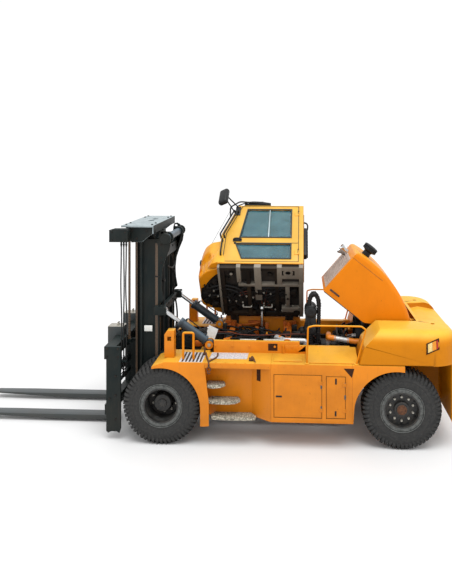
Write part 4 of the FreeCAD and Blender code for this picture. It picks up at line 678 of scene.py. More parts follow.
def build_wheels(scene):
    circle = scene.forklift_sizes.bolt_circle
    finish_node("front_wheel_left front_wheel_right rear_wheel_left rear_wheel_right", "wheel enamel")
    for side, sign in SIDES:
        for x, disc, body in ((0.0, 0.947, "front_wheels_"), (-WHEELBASE, 1.105, "rear_wheel_")):
            hub, axis, centre = body + side, (0, sign, 0), (x, 0, TYRE_R)

            def stud(start, end, up, thick, sides):
                bar(bm, (x, sign * start, TYRE_R + up), (x, sign * end, TYRE_R + up), thick, sides)
            bm = bmesh.new()
            radius = circle + (0.008 if x == 0 else 0)

            def nut():
                stud(disc, disc + 0.026, radius, 0.017, 6)
                stud(disc, disc + 0.042, radius, 0.01, 8)
            ring_of(bm, 10, centre, axis, nut)
            piece("wheel_nuts_" + hub, bm, "galvanised steel", hub)
            out = FRONT_OUT if x == 0 else REAR_OUT
            lathe(bm, [(0.236, out - 0.004), (0.262, out - 0.001), (0.29, out + 0.002),
                (0.297, out - 0.002), (0.29, out - 0.012), (0.236, out - 0.014)], centre, axis, 64,
                closed=True)
            lathe(bm, [(0.303, out + 0.001), (0.309, out + 0.005), (0.315, out + 0.001),
                (0.309, out - 0.01)], centre, axis, 64, closed=True)
            if x == 0:
                for low in (0.07, 0.1, 0.14):
                    lathe(bm, [(0.2365, out - low), (0.231, out - low - 0.006),
                        (0.2365, out - low - 0.012)], centre, axis, 64, closed=True)
            piece("lock_ring_" + hub, bm, "rim steel", hub)
            if x:
                cap = [(0.0, 1.184), (0.03, 1.184), (0.052, 1.182), (0.07, 1.178), (0.074, 1.163),
                    (0.0, 1.163)]
            else:
                cap = [(0.0, 1.143), (0.052, 1.143), (0.062, 1.14), (0.066, 1.124), (0.0, 1.124)]
            lathe(bm, cap, centre, axis, 40)
            reach, face = (0.056, 1.184) if x else (0.047, 1.143)

            def screw():
                stud(face - 0.004, face + 0.007, reach, 0.007, 6)
            ring_of(bm, 8, centre, axis, screw)
            piece("hub_cap_" + hub, bm, "rusted iron" if x else "wheel enamel", hub)
            # black discs on the wheel disc: painted shade in the hand holes
            hole_r = 0.214 if x else 0.221

            def hole():
                stud(disc - 0.001, disc + 0.003, hole_r, 0.016, 14)
            ring_of(bm, 6, centre, axis, hole)
            piece("hand_hole_shade_" + hub, bm, "hose rubber", hub)


class FORKLIFT_OT_wheels(bpy.types.Operator):
    """Wheel nuts, lock rings, hand holes and hub covers"""
    bl_idname = "forklift.wheels"
    bl_label = "Wheel details"

    def execute(self, context):
        build_wheels(context.scene)
        return {"FINISHED"}


def build_chains(scene):
    pitch = scene.forklift_sizes.chain_pitch
    low, high = 1.2903, 2.925
    for side, sign in SIDES:
        bm = bmesh.new()
        count = int((high - low) / pitch)

        def links():
            z, x = low + pitch / 2, CHAIN_X
            for i, y in enumerate((-0.013, -0.0065, 0.0, 0.0065, 0.013)):
                shift = pitch / 2 if i % 2 else 0.0
                block(bm, x - 0.016, x + 0.016, sign * CHAIN_Y + y - 0.0028, sign * CHAIN_Y + y + 0.0028,
                    z - pitch * 0.47 + shift, z + pitch * 0.47 + shift, 0.006)
            bar(bm, (x, sign * CHAIN_Y - 0.019, z), (x, sign * CHAIN_Y + 0.019, z), 0.007, 8)
        row_of(bm, count, (0, 0, pitch), links)
        block(bm, 0.655, 0.698, sign * CHAIN_Y - 0.019, sign * CHAIN_Y + 0.019, low, low + 0.03, 0.004)
        nodes = ["lift_chains"] if side == "left" else ()
        chain = piece("leaf_chain_" + side, bm, "old grease", "mast_inner", nodes)
        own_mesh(chain)


class FORKLIFT_OT_chains(bpy.types.Operator):
    """The two leaf chains that shorten as the carriage climbs"""
    bl_idname = "forklift.chains"
    bl_label = "Lift chains"

    def execute(self, context):
        build_chains(context.scene)
        return {"FINISHED"}


def build_mast_hoses(scene):
    radius = scene.forklift_sizes.hose_radius
    low, high = 1.1025, 2.872
    bm = bmesh.new()
    for i, x in enumerate(HOSE_XS):
        sway = (0.01, -0.006, 0.008)[i]
        tube(bm, [(x, HOSE_Y, high), (x, HOSE_Y, 2.6), (x + sway, HOSE_Y + sway, 2.2),
            (x - sway, 0.9, 1.7), (x, HOSE_Y, 1.35), (x, HOSE_Y, low)], radius)
        for z in (low + 0.035, high - 0.035):
            bar(bm, (x, HOSE_Y, z - 0.035), (x, HOSE_Y, z + 0.035), radius * 1.35, 12)
            bar(bm, (x, HOSE_Y, z - 0.012), (x, HOSE_Y, z + 0.004), radius * 1.7, 6)
    hoses = piece("carriage_hoses", bm, "hose rubber", "mast_inner", ["mast_hoses"])
    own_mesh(hoses)


class FORKLIFT_OT_mast_hoses(bpy.types.Operator):
    """Three hoses from the pulley box to the carriage, with crimped ends"""
    bl_idname = "forklift.mast_hoses"
    bl_label = "Mast hoses"

    def execute(self, context):
        build_mast_hoses(context.scene)
        return {"FINISHED"}


def build_mast():
    for name in ("outer_mast", "inner_mast"):
        body = "mast_outer" if name == "outer_mast" else "mast_inner"
        softened(name, 0.004, "mast enamel", body, 2, 0.08)
    softened("mast_head", 0.004, "grey primer", "mast_inner", 2, 0.06)
    softened("hose_box", 0.006, "mast enamel", "mast_inner", 2, 0.05)
    finish_node("lift_barrels", "mast enamel")
    # dark gussets and pulleys under the light plate
    bm = bmesh.new()
    gusset = ((0.648, 3.07), (0.242, 3.07), (0.242, 2.976), (0.401, 2.852), (0.559, 2.843), (0.648, 2.952))
    for y, thick in ((0.746, 0.002), (0.719, -0.002)):
        both(bm, lambda: plate(bm, [(x, y, z) for x, z in gusset], (0, thick, 0)))
    block(bm, 0.2125, 0.215, -0.782, 0.782, 2.98, 3.101)
    block(bm, 0.7085, 0.7115, -0.781, 0.781, 3.074, 3.1)
    for y in (-0.25, 0.03):
        block(bm, 0.392, 0.468, y - 0.075, y + 0.075, 3.07, 3.0745)
    piece("head_gusset_skins", bm, "mast enamel", "mast_inner")

    def head_bolts():
        for x, z in ((0.33, 3.02), (0.56, 3.02), (0.48, 2.9)):
            bolt(bm, (x, 0.748, z), LEFT, 0.015, 0.012)
    both(bm, head_bolts)
    for x in (0.26, 0.66):
        for y in (-0.68, -0.45, 0.45, 0.68):
            bolt(bm, (x, y, 3.103), UP, 0.014, 0.01)
    for x in (0.6, 0.8):
        for z in (2.9, 3.02):
            bolt(bm, (x, 0.96, z), LEFT, 0.01, 0.007)
    piece("head_bolts", bm, "cast iron", "mast_inner")
    # curved gusset plates behind the rails, from the top tube down to the tilt eyes
    curve = ((0.182, 2.95), (0.06, 2.95), (0.018, 2.9), (0.008, 2.8), (0.022, 2.71), (0.085, 2.56),
        (0.13, 2.42), (0.148, 2.25), (0.14, 2.08), (0.112, 1.93), (0.182, 1.86))
    both(bm, lambda: plate(bm, [(x, 0.522, z) for x, z in curve], (0, 0.02, 0), 0.003))
    piece("mast_gussets", bm, "mast enamel", "mast_outer")

    # tracks of bearing grease down the rails
    def tracks():
        block(bm, 0.215, 0.255, 0.503, 0.5046, 0.35, 2.8)
        block(bm, 0.205, 0.228, 0.545, 0.5461, 0.7, 2.78)
        block(bm, 0.1785, 0.18, 0.47, 0.5, 0.6, 1.65)
        block(bm, 0.1785, 0.18, 0.47, 0.5, 1.85, 2.52)
    both(bm, tracks)
    piece("grease_tracks", bm, "old grease", "mast_outer")
    both(bm, lambda: block(bm, 0.555, 0.585, 0.42, 0.4212, 0.35, 2.85))
    piece("inner_grease_tracks", bm, "old grease", "mast_inner")

    # pipes, clamps and bolt heads on the fixed stage
    def pipes():
        tube(bm, [(0.15, 0.4, 0.6), (0.15, 0.4, 1.4), (0.15, 0.385, 1.45), (0.15, 0.385, 2.3),
            (0.175, 0.33, 2.5), (0.215, 0.28, 2.53)], 0.012)
        tube(bm, [(0.105, 0.3, 1.76), (0.08, 0.34, 1.6), (0.085, 0.36, 1.3), (0.13, 0.34, 1.05),
            (0.15, 0.3, 0.8), (0.215, 0.24, 0.45)], 0.014)
    both(bm, pipes)
    tube(bm, [(0.1, -0.36, 1.34), (0.075, -0.2, 1.3), (0.07, 0.1, 1.36), (0.1, 0.36, 1.34)], 0.014)
    tube(bm, [(0.11, -0.3, 2.4), (0.085, -0.1, 2.33), (0.085, 0.14, 2.35), (0.11, 0.3, 2.42)], 0.012)
    piece("mast_pipes", bm, "hose rubber", "mast_outer")

    def fittings():
        for z in (1.05, 1.76, 2.2, 2.64):
            block(bm, 0.126, 0.168, 0.362, 0.425, z - 0.018, z + 0.018, 0.004)
        for z in (1.04, 1.76, 2.64):
            for y in (0.15, 0.46):
                bolt(bm, (0.12, y, z + 0.035), (-1, 0, 0), 0.013, 0.01)
        for z in (0.46, 0.66):
            bolt(bm, (0.12, 0.541, z), LEFT, 0.018, 0.014)
        for z in (2.5, 2.58, 2.78):
            bolt(bm, (0.15, 0.545, z), LEFT, 0.014, 0.01)
    both(bm, fittings)
    block(bm, 0.176, 0.26, 0.546, 0.553, 2.28, 2.3, 0.002)
    piece("mast_fittings", bm, "cast iron", "mast_outer")
    block(bm, 0.29, 0.415, 0.5452, 0.548, 1.44, 1.53, 0.002)
    piece("mast_blank_plate", bm, "white enamel plate", "mast_outer")

    # collars and the dark strap round the top tube
    def collars():
        for y in (0.4, 0.59):
            lathe(bm, [(0.04, y - 0.016), (0.078, y - 0.016), (0.086, y - 0.008), (0.086, y + 0.008),
                (0.078, y + 0.016), (0.04, y + 0.016)], (TUBE_X, 0, TUBE_Z), LEFT, 32)
        bar(bm, (TUBE_X, 0.58, TUBE_Z), (TUBE_X, 0.612, TUBE_Z), 0.045, 24)
    both(bm, collars)
    piece("tube_collars", bm, "mast enamel", "mast_outer")
    bar(bm, (TUBE_X, -0.58, TUBE_Z), (TUBE_X, 0.58, TUBE_Z), 0.056, 32)
    piece("top_tube_sleeve", bm, "barrel enamel", "mast_outer")
    # lid seam and hinge of the pulley box
    block(bm, 0.557, 0.845, 0.789, 0.963, 3.046, 3.0515, 0.001)
    for x in (0.62, 0.74):
        bar(bm, (x, 0.793, 3.052), (x + 0.05, 0.793, 3.052), 0.007, 10)
    block(bm, 0.838, 0.8455, 0.84, 0.91, 2.93, 2.99, 0.002)
    piece("hose_box_trim", bm, "black plastic", "mast_inner")


class FORKLIFT_OT_mast(bpy.types.Operator):
    """Mast finishes, bolts, clamps, grease tracks, cross hoses and the hose box cover"""
    bl_idname = "forklift.mast"
    bl_label = "Mast details"

    def execute(self, context):
        build_mast()
        return {"FINISHED"}


def build_carriage():
    softened("carriage", 0.004, "mast enamel", "carriage", 2, 0.07)
    softened("fork_left", 0.005, "fork enamel", "fork_left", 2, 0.08)
    softened("fork_right", 0.005, "fork enamel", "fork_right", 2, 0.08)
    bm = bmesh.new()

    def bolts():
        for x, z in ((0.665, 1.33), (0.665, 1.21), (0.83, 1.33), (0.83, 1.21), (0.7, 0.93), (0.7, 0.3),
                (0.79, 0.6), (0.7, 0.65)):
            bolt(bm, (x, 1.1, z), LEFT, 0.014, 0.01)
    both(bm, bolts)
    piece("carriage_bolts", bm, "cast iron", "carriage")
    # locating notches along the top of the upper bar
    for sign in (1, -1):
        row_of_blocks(bm, 13, (0, sign * 0.07, 0), 0.845, 0.8725, sign * 0.14, sign * 0.165, 1.352,
            1.3603, 0.002)
    for z in (1.19, 1.36):
        block(bm, 0.8722, 0.8732, -1.05, 1.05, z - 0.02, z - 0.004)
    piece("carriage_notches", bm, "cast iron", "carriage")
    # chromed rods and end caps of the fork positioners
    both(bm, lambda: bar(bm, (ROD_X, 0.46, UPPER_ROD_Z), (ROD_X, 1.02, UPPER_ROD_Z), 0.0475, 28))
    both(bm, lambda: bar(bm, (ROD_X, 0.36, LOWER_ROD_Z), (ROD_X, 0.98, LOWER_ROD_Z), 0.0312, 24))
    piece("positioner_rods", bm, "hard chrome", "carriage")

    def caps():
        for y in (0.06, 0.45, 1.02):
            lathe(bm, [(0.046, y - 0.02), (0.06, y - 0.02), (0.064, y - 0.014), (0.064, y + 0.014),
                (0.06, y + 0.02), (0.046, y + 0.02)], (ROD_X, 0, UPPER_ROD_Z), LEFT, 24)
        for y in (0.35, 0.98):
            lathe(bm, band(0.03, 0.044, y - 0.016, y + 0.016), (ROD_X, 0, LOWER_ROD_Z), LEFT, 20)
    both(bm, caps)
    piece("positioner_caps", bm, "cast iron", "carriage")
    # hose ends, the block that they meet and the loops to the positioners
    for x in HOSE_XS:
        bar(bm, (x, HOSE_Y, 1.05), (x, HOSE_Y, 1.079), 0.014, 12)
    tube(bm, [(0.596, HOSE_Y, 1.055), (0.6, HOSE_Y, 0.98), (0.66, 0.86, 0.94), (0.74, 0.7, 0.955),
        (0.79, 0.62, 0.94)], 0.01)
    tube(bm, [(0.634, HOSE_Y, 1.055), (0.634, 0.91, 0.93), (0.67, 0.9, 0.8), (0.75, 0.8, 0.76),
        (0.79, 0.74, 0.725)], 0.01)
    tube(bm, [(0.672, HOSE_Y, 1.055), (0.672, 0.92, 0.95), (0.68, 0.96, 0.9), (0.74, 0.98, 0.88),
        (0.79, 0.96, 0.86)], 0.01)
    piece("carriage_hose_loops", bm, "hose rubber", "carriage")
    # latch pins on the fork hooks
    for side, sign in SIDES:
        y = sign * 0.42
        bar(bm, (0.86, y, 1.494), (0.86, y, 1.535), 0.02, 16)
        tube(bm, [(0.86, y - 0.05, 1.528), (0.86, y - 0.05, 1.545), (0.86, y + 0.05, 1.545),
            (0.86, y + 0.05, 1.528)], 0.007)
        block(bm, 0.752, 0.998, y - 0.099, y + 0.099, 1.4945, 1.5, 0.003)
        piece("fork_latch_" + side, bm, "galvanised steel", "fork_" + side)


class FORKLIFT_OT_carriage(bpy.types.Operator):
    """Carriage and fork finishes, bolts, notches, positioner rods and hose fittings"""
    bl_idname = "forklift.carriage"
    bl_label = "Carriage details"

    def execute(self, context):
        build_carriage()
        return {"FINISHED"}


def build_cylinders():
    finish_node("tilt_rod_left tilt_rod_right cab_ram_rod", "hard chrome")
    finish_node("tilt_barrel_left tilt_barrel_right cab_ram_barrel", "barrel enamel")
    foot, head = Vector((-0.615, 0.59, 1.28)), Vector((0.1, 0.59, 1.78))
    along = (head - foot).normalized()
    way, up = Vector((along.x, 0, along.z)), Vector((-along.z, 0, along.x))
    for side, sign in SIDES:
        base = foot.copy()
        base.y *= sign
        bm = bmesh.new()
        lathe(bm, [(0.0662, 0.52), (0.076, 0.52), (0.079, 0.528), (0.079, 0.566), (0.074, 0.5765),
            (0.0335, 0.5765), (0.0335, 0.56), (0.0662, 0.555)], base, way, 36, closed=True)
        lathe(bm, band(0.0662, 0.074, 0.075, 0.105), base, way, 36, closed=True)
        for reach in (0.13, 0.5):
            spot = base + way * reach
            bar(bm, spot + up * 0.06, spot + up * 0.098, 0.016, 12)
        piece("tilt_gland_" + side, bm, "barrel enamel", "tilt_barrel_" + side)
        tube(bm, [base + way * 0.13 + up * 0.09, base + way * 0.13 + up * 0.125,
            base + way * 0.2 + up * 0.11, base + way * 0.42 + up * 0.11, base + way * 0.5 + up * 0.125,
            base + way * 0.5 + up * 0.092], 0.008)
        piece("tilt_line_" + side, bm, "hose rubber", "tilt_barrel_" + side)
        for y in (-TILT_EYE_HALF, TILT_EYE_HALF):
            bolt(bm, base + Vector((0, y * 1.22, 0)), (0, y, 0), 0.02, 0.01)
        piece("tilt_pin_heads_" + side, bm, "galvanised steel", "chassis")
        for y in (-TILT_EYE_HALF, TILT_EYE_HALF):
            spot = base + Vector((0, y, 0))
            bar(bm, spot, spot + Vector((0, y * 0.22, 0)), 0.062, 28)
        piece("tilt_pin_bosses_" + side, bm, "orange enamel", "chassis")


class FORKLIFT_OT_cylinders(bpy.types.Operator):
    """Glands, caps and chromed rods of the tilt cylinders and of the cab cylinder"""
    bl_idname = "forklift.cylinders"
    bl_label = "Cylinders"

    def execute(self, context):
        build_cylinders()
        return {"FINISHED"}


WINDOWS = (((-1.84, 2.03), (-0.97, 2.03), (-1.06, 2.762), (-1.84, 2.762)),
    ((-1.84, 1.525), (-1.04, 1.525), (-0.91, 1.88), (-1.84, 1.88)))


def gasket(bm, outline, width, thick):
    """A frame of a given width just inside an outline, thickened along a vector."""
    face = bm.faces.new([bm.verts.new(p) for p in outline])
    face.normal_update()
    ring = bmesh.ops.inset_region(bm, faces=[face], thickness=width, use_boundary=True,
        use_even_offset=True)["faces"]
    bmesh.ops.delete(bm, geom=[face], context="FACES_ONLY")
    pulled(bm, ring, thick, keep=True)


def seals(bm, y, way):
    """Rubber frames round both panes of one side, standing proud towards way."""
    for window in WINDOWS:
        grown = [(x + (0.01 if x > -1.2 else -0.01), z + (0.01 if i > 1 else -0.01))
            for i, (x, z) in enumerate(window)]
        gasket(bm, [(x, y, z) for x, z in grown], 0.02, (0, way * 0.01, 0))


def cushion(bm, x0, x1, y0, y1, z0, z1, crown, axis):
    """A padded block: a fine cube whose corners are drawn in and whose broad face is crowned."""
    size = Vector((x1 - x0, y1 - y0, z1 - z0))
    centre = Vector((x0 + x1, y0 + y1, z0 + z1)) / 2
    bmesh.ops.subdivide_edges(bm, edges=linked(cube(bm, centre, size)), cuts=9, use_grid_fill=True)
    all_verts = list(bm.verts)
    for _ in range(5):
        bmesh.ops.smooth_vert(bm, verts=all_verts, factor=0.5, use_axis_x=True, use_axis_y=True,
            use_axis_z=True)
    for v in all_verts:
        span = [1 - min(1.0, (abs(v.co[i] - centre[i]) / (size[i] / 2)) ** 2) for i in range(3)]
        others = [span[i] for i in range(3) if i != axis]
        v.co[axis] += crown * others[0] * others[1]


def build_cab():
    softened("cab_shell", 0.01, "cab enamel", "cab", 3, 0.05)
    softened("cab_door", 0.006, "cab enamel", "cab_door", 2, 0.05)
    finish_node("cab_glass door_glass", "tinted glass")
    bm = bmesh.new()
    seals(bm, CAB_HALF + 0.0005, 1)
    # the strip that divides the upper window from the lower one
    block(bm, -1.955, -0.995, CAB_HALF + 0.0005, CAB_HALF + 0.004, 1.893, 1.903)
    piece("door_seals", bm, "seal rubber", "cab_door")
    block(bm, -1.464, -1.448, 0.58, 0.603, 2.03, 2.762, 0.003)
    piece("sliding_pane_post", bm, "window channel", "cab_door")
    seals(bm, -CAB_HALF - 0.0005, -1)
    gasket(bm, [(CAB_REAR_X - 0.0005, y, z)
        for y, z in ((-0.46, 2.02), (0.46, 2.02), (0.46, 2.79), (-0.46, 2.79))], 0.034, (-0.01, 0, 0))
    gasket(bm, [(x, y, 2.9105) for x, y in ((-1.34, -0.41), (-1.0, -0.41), (-1.0, 0.41), (-1.34, 0.41))],
        0.03, (0, 0, 0.008))
    # the opening's edge round the door
    gasket(bm, [(x, CAB_HALF + 0.0004, z) for x, z in ((-1.968, 1.459), (-0.727, 1.459), (-0.727, 2.122),
        (-0.953, 2.853), (-1.968, 2.853))], 0.008, (0, 0.0012, 0))
    piece("cab_seals", bm, "seal rubber", "cab")
    # windscreen seal and wiper, on the slope
    slope = Vector((-0.9 + 0.65, 0, 0.79)).normalized()
    out = Vector((slope.z, 0, -slope.x))
    foot = Vector((-0.65, 0, 2.12)) + out * 0.001

    def on_screen(y, up):
        return foot + slope * up + Vector((0, y, 0))
    gasket(bm, [on_screen(y, u) for y, u in ((-0.53, 0.012), (0.53, 0.012), (0.53, 0.755),
        (-0.53, 0.755))], 0.034, out * 0.01)
    tube(bm, [on_screen(0.1, -0.02) + out * 0.03, on_screen(0.12, 0.03) + out * 0.05,
        on_screen(0.22, 0.3) + out * 0.035, on_screen(0.27, 0.42) + out * 0.025], 0.008)
    bar(bm, on_screen(0.2, 0.16) + out * 0.018, on_screen(0.34, 0.66) + out * 0.018, 0.009, 8)
    bar(bm, on_screen(0.1, -0.02), on_screen(0.1, -0.02) + out * 0.05, 0.02, 12)
    piece("windscreen_trim", bm, "seal rubber", "cab")
    # door handle, lock and hinges
    block(bm, -1.01, -0.86, CAB_HALF, CAB_HALF + 0.022, 1.925, 1.99, 0.008)
    tube(bm, [(-0.87, CAB_HALF + 0.01, 1.955), (-0.875, CAB_HALF + 0.045, 1.957),
        (-0.935, CAB_HALF + 0.052, 1.957), (-0.995, CAB_HALF + 0.045, 1.957),
        (-1.0, CAB_HALF + 0.01, 1.955)], 0.011)
    bar(bm, (-0.9, CAB_HALF, 1.885), (-0.9, CAB_HALF + 0.018, 1.885), 0.018, 16)
    for z in (1.66, 2.63):
        bar(bm, (-1.962, CAB_HALF + 0.008, z), (-1.962, CAB_HALF + 0.008, z + 0.09), 0.01, 12)
    piece("door_handle", bm, "black plastic", "cab_door")
    # the double grab bar on the front pillar, and the lower one
    for shift in (0.0, 0.06):
        bent(bm, [(-0.715 + shift, CAB_HALF - 0.02, 2.02), (-0.7 + shift, CAB_HALF + 0.075, 2.03),
            (-0.89 + shift, CAB_HALF + 0.075, 2.66), (-0.905 + shift, CAB_HALF - 0.02, 2.65)], 0.014,
            0.05)
    bent(bm, [(-0.69, CAB_HALF - 0.03, 1.93), (-0.69, CAB_HALF + 0.07, 1.93),
        (-0.69, CAB_HALF + 0.07, 1.6), (-0.69, CAB_HALF - 0.03, 1.6)], 0.014, 0.05)
    piece("grab_bars", bm, "black plastic", "cab")
    # mirror: two arms, deep shell turned towards the side, and glass
    turn = Matrix.Translation((-0.635, 0.84, 0.045)) @ Matrix.Rotation(math.radians(62), 4, "Z")
    turn = turn @ Matrix.Translation((0.615, -0.79, 0))
    bar(bm, (-0.905, 0.59, 2.8), (-0.64, 0.82, 2.93), 0.012, 10)
    bar(bm, (-0.853, 0.59, 2.64), (-0.64, 0.82, 2.85), 0.012, 10)
    block(bm, -0.93, -0.84, 0.585, 0.615, 2.6, 2.83, 0.006)
    block(bm, -0.668, -0.562, 0.7, 0.88, 2.59, 2.96, 0.048, turn, 5)
    piece("cab_mirror_shell", bm, "black plastic", "cab", ["cab_mirror"])
    block(bm, -0.6705, -0.6675, 0.742, 0.838, 2.64, 2.91, 0.001, turn)
    piece("cab_mirror_glass", bm, "hard chrome", "cab")
    bar(bm, (-0.76, 0.6, 2.8), (-0.475, 0.44, 2.03), 0.003, 6)
    piece("cab_strap", bm, "rim steel", "cab")
    # roof: ribbed vent cover along the left edge, beacon foot and two lamps
    block(bm, -1.46, -0.98, 0.4, 0.59, CAB_TOP_Z, 2.965, 0.02)
    block(bm, -1.33, -1.06, 0.43, 0.612, 2.94, 2.985, 0.016)
    row_of_blocks(bm, 8, (-0.05, 0, 0), -1.02, -1.0, 0.41, 0.598, 2.96, 2.974, 0.003)
    bent(bm, [(-1.44, 0.59, 2.93), (-0.9, 0.63, 2.95), (-0.74, 0.64, 2.78), (-0.76, 0.6, 2.56)], 0.013,
        0.12)
    tube(bm, [(-1.46, 0.595, 2.94), (-1.2, 0.618, 2.975), (-0.98, 0.6, 2.95), (-0.86, 0.598, 2.86)], 0.01)
    block(bm, -2.0, -1.7, -0.3, 0.3, CAB_TOP_Z, 2.945, 0.012)
    row_of_blocks(bm, 9, (0, 0.06, 0), -1.985, -1.715, -0.25, -0.23, 2.944, 2.95, 0.002)
    for y in (-0.42, 0.42):
        block(bm, -0.985, -0.9, y - 0.055, y + 0.055, 2.88, 2.975, 0.012)
    piece("roof_vents", bm, "black plastic", "cab")
    for y in (-0.42, 0.42):
        block(bm, -0.901, -0.892, y - 0.045, y + 0.045, 2.89, 2.965, 0.006)
    piece("roof_lamp_lenses", bm, "clear lens", "cab")
    # rear wall: ribbed duct, small box and a short hose
    block(bm, -2.105, -2.045, 0.475, 0.585, 1.64, 2.3, 0.014)
    row_of_blocks(bm, 8, (0, 0, 0.075), -2.122, -2.1, 0.48, 0.58, 1.67, 1.7, 0.004)
    block(bm, -2.09, -2.045, 0.36, 0.5, 1.9, 2.2, 0.02)
    tube(bm, [(-2.1, 0.5, 2.28), (-2.13, 0.55, 2.36), (-2.1, 0.56, 2.46), (-2.05, 0.52, 2.5)], 0.014)
    piece("cab_rear_duct", bm, "black plastic", "cab")


class FORKLIFT_OT_cab(bpy.types.Operator):
    """Cab skin, door, panes, seals, handles, grab bars, mirror, vents and lamps"""
    bl_idname = "forklift.cab"
    bl_label = "Cab outside"

    def execute(self, context):
        build_cab()
        return {"FINISHED"}


def build_cowl():
    bm = merged_copy("cab_cowl")
    back = CAB @ (ORIGIN + Vector((-0.6497, 0, 1.5)))
    edges = [e for e in bm.edges if len(e.link_faces) == 2 and e.calc_face_angle(0.0) > math.radians(12)
        and not all(abs(v.co.x - back.x) < 0.002 for v in e.verts)]
    rounded(bm, edges, NOSE_ROUND, 6)
    bmesh.ops.triangulate(bm, faces=bm.faces)
    for _ in range(3):
        bmesh.ops.subdivide_edges(bm, edges=[e for e in bm.edges if e.calc_length() > 0.03], cuts=1)
        bmesh.ops.triangulate(bm, faces=[f for f in bm.faces if len(f.verts) > 3])
    bm.normal_update()
    home = Matrix.Translation(-ORIGIN) @ CAB.inverted()
    moves = []
    for v in bm.verts:
        spot = home @ v.co
        out = (home.to_3x3() @ v.normal).normalized()
        rim = 1.735 - 6.0 * abs(spot.x + 0.44) ** 2.2
        depth = min(1.0, max(0.0, (rim - spot.z) / 0.035)) * min(1.0, max(0.0, (spot.x + 0.645) / 0.05))
        depth *= min(1.0, max(0.0, abs(out.y) - 0.1) * 2)
        moves.append(v.normal * -0.045 * depth * depth * (3 - 2 * depth))
    for v, move in zip(bm.verts, moves):
        v.co += move
    piece("cab_nose", bm, "nose enamel", "cab", ["cab_cowl"], moved=False, smooth=60)

    # cheeks that fair the nose into the side walls
    bm = bmesh.new()

    def cheek():
        shape = bmesh.new()
        for points, z in ((((-0.77, 0.602), (-0.65, 0.607), (-0.57, 0.575), (-0.51, 0.515),
                (-0.49, 0.48)), 1.43),
                (((-0.755, 0.602), (-0.65, 0.606), (-0.575, 0.58), (-0.51, 0.525), (-0.48, 0.48)), 1.54),
                (((-0.7, 0.601), (-0.65, 0.603), (-0.61, 0.575), (-0.58, 0.53), (-0.57, 0.48)), 1.66),
                (((-0.66, 0.59), (-0.652, 0.592), (-0.64, 0.57), (-0.635, 0.53), (-0.632, 0.48)), 1.745)):
            for x, y in points:
                shape.verts.new((x, y, z))
            shape.verts.new((-0.66, 0.48, z))
        bmesh.ops.convex_hull(shape, input=shape.verts)
        loose = [v for v in shape.verts if not v.link_faces]
        bmesh.ops.delete(shape, geom=loose, context="VERTS")
        bmesh.ops.dissolve_limit(shape, angle_limit=math.radians(0.5), verts=shape.verts, edges=shape.edges)
        mesh = mesh_of("cheek", shape)
        bm.from_mesh(mesh)
        bpy.data.meshes.remove(mesh)
    both(bm, cheek)
    piece("nose_cheeks", bm, "nose enamel", "cab", smooth=50)

    def low(x):
        return 1.4255 - (x + 0.65) * 0.2656
    outline = [(-0.655, 0.35), (-0.6, 0.33), (-0.53, 0.27), (-0.46, 0.18), (-0.4, 0.1), (-0.355, 0.08),
        (-0.33, -0.1), (-0.34, -0.16), (-0.385, -0.25), (-0.46, -0.34), (-0.54, -0.42), (-0.655, -0.48)]
    plate(bm, [(x, y, low(x)) for x, y in outline], (0, 0, -0.004))
    row_of_blocks(bm, 5, (0.052, 0, -0.0138), -0.63, -0.612, -0.3, 0.16, 1.385, 1.425, 0.004)
    for x, y, r in ((-0.58, 0.2, 0.045), (-0.46, 0.05, 0.06), (-0.55, -0.12, 0.04), (-0.42, -0.2, 0.045)):
        bar(bm, (x, y, low(x) - 0.045), (x, y, low(x)), r, 18)
    block(bm, -0.62, -0.5, -0.38, -0.26, 1.34, 1.42, 0.01)
    block(bm, -0.46, -0.38, -0.1, 0.0, 1.315, 1.375, 0.01)
    piece("nose_tray", bm, "cast iron", "cab")
    row_of_blocks(bm, 7, (0, 0, 0.03), -0.318, -0.2975, -0.2, 0.2, 1.56, 1.575, 0.003)
    for y in (-0.26, 0.26):
        lathe(bm, [(0.0, 0.006), (0.05, 0.006), (0.058, 0.0), (0.058, -0.03)], (-0.306, y, 1.74), AHEAD, 24)
    piece("nose_grille", bm, "black plastic", "cab")


class FORKLIFT_OT_cowl(bpy.types.Operator):
    """The bulging nose of the cab with a pressed scoop in each side, and its black under tray"""
    bl_idname = "forklift.cowl"
    bl_label = "Cab nose"

    def execute(self, context):
        build_cowl()
        return {"FINISHED"}


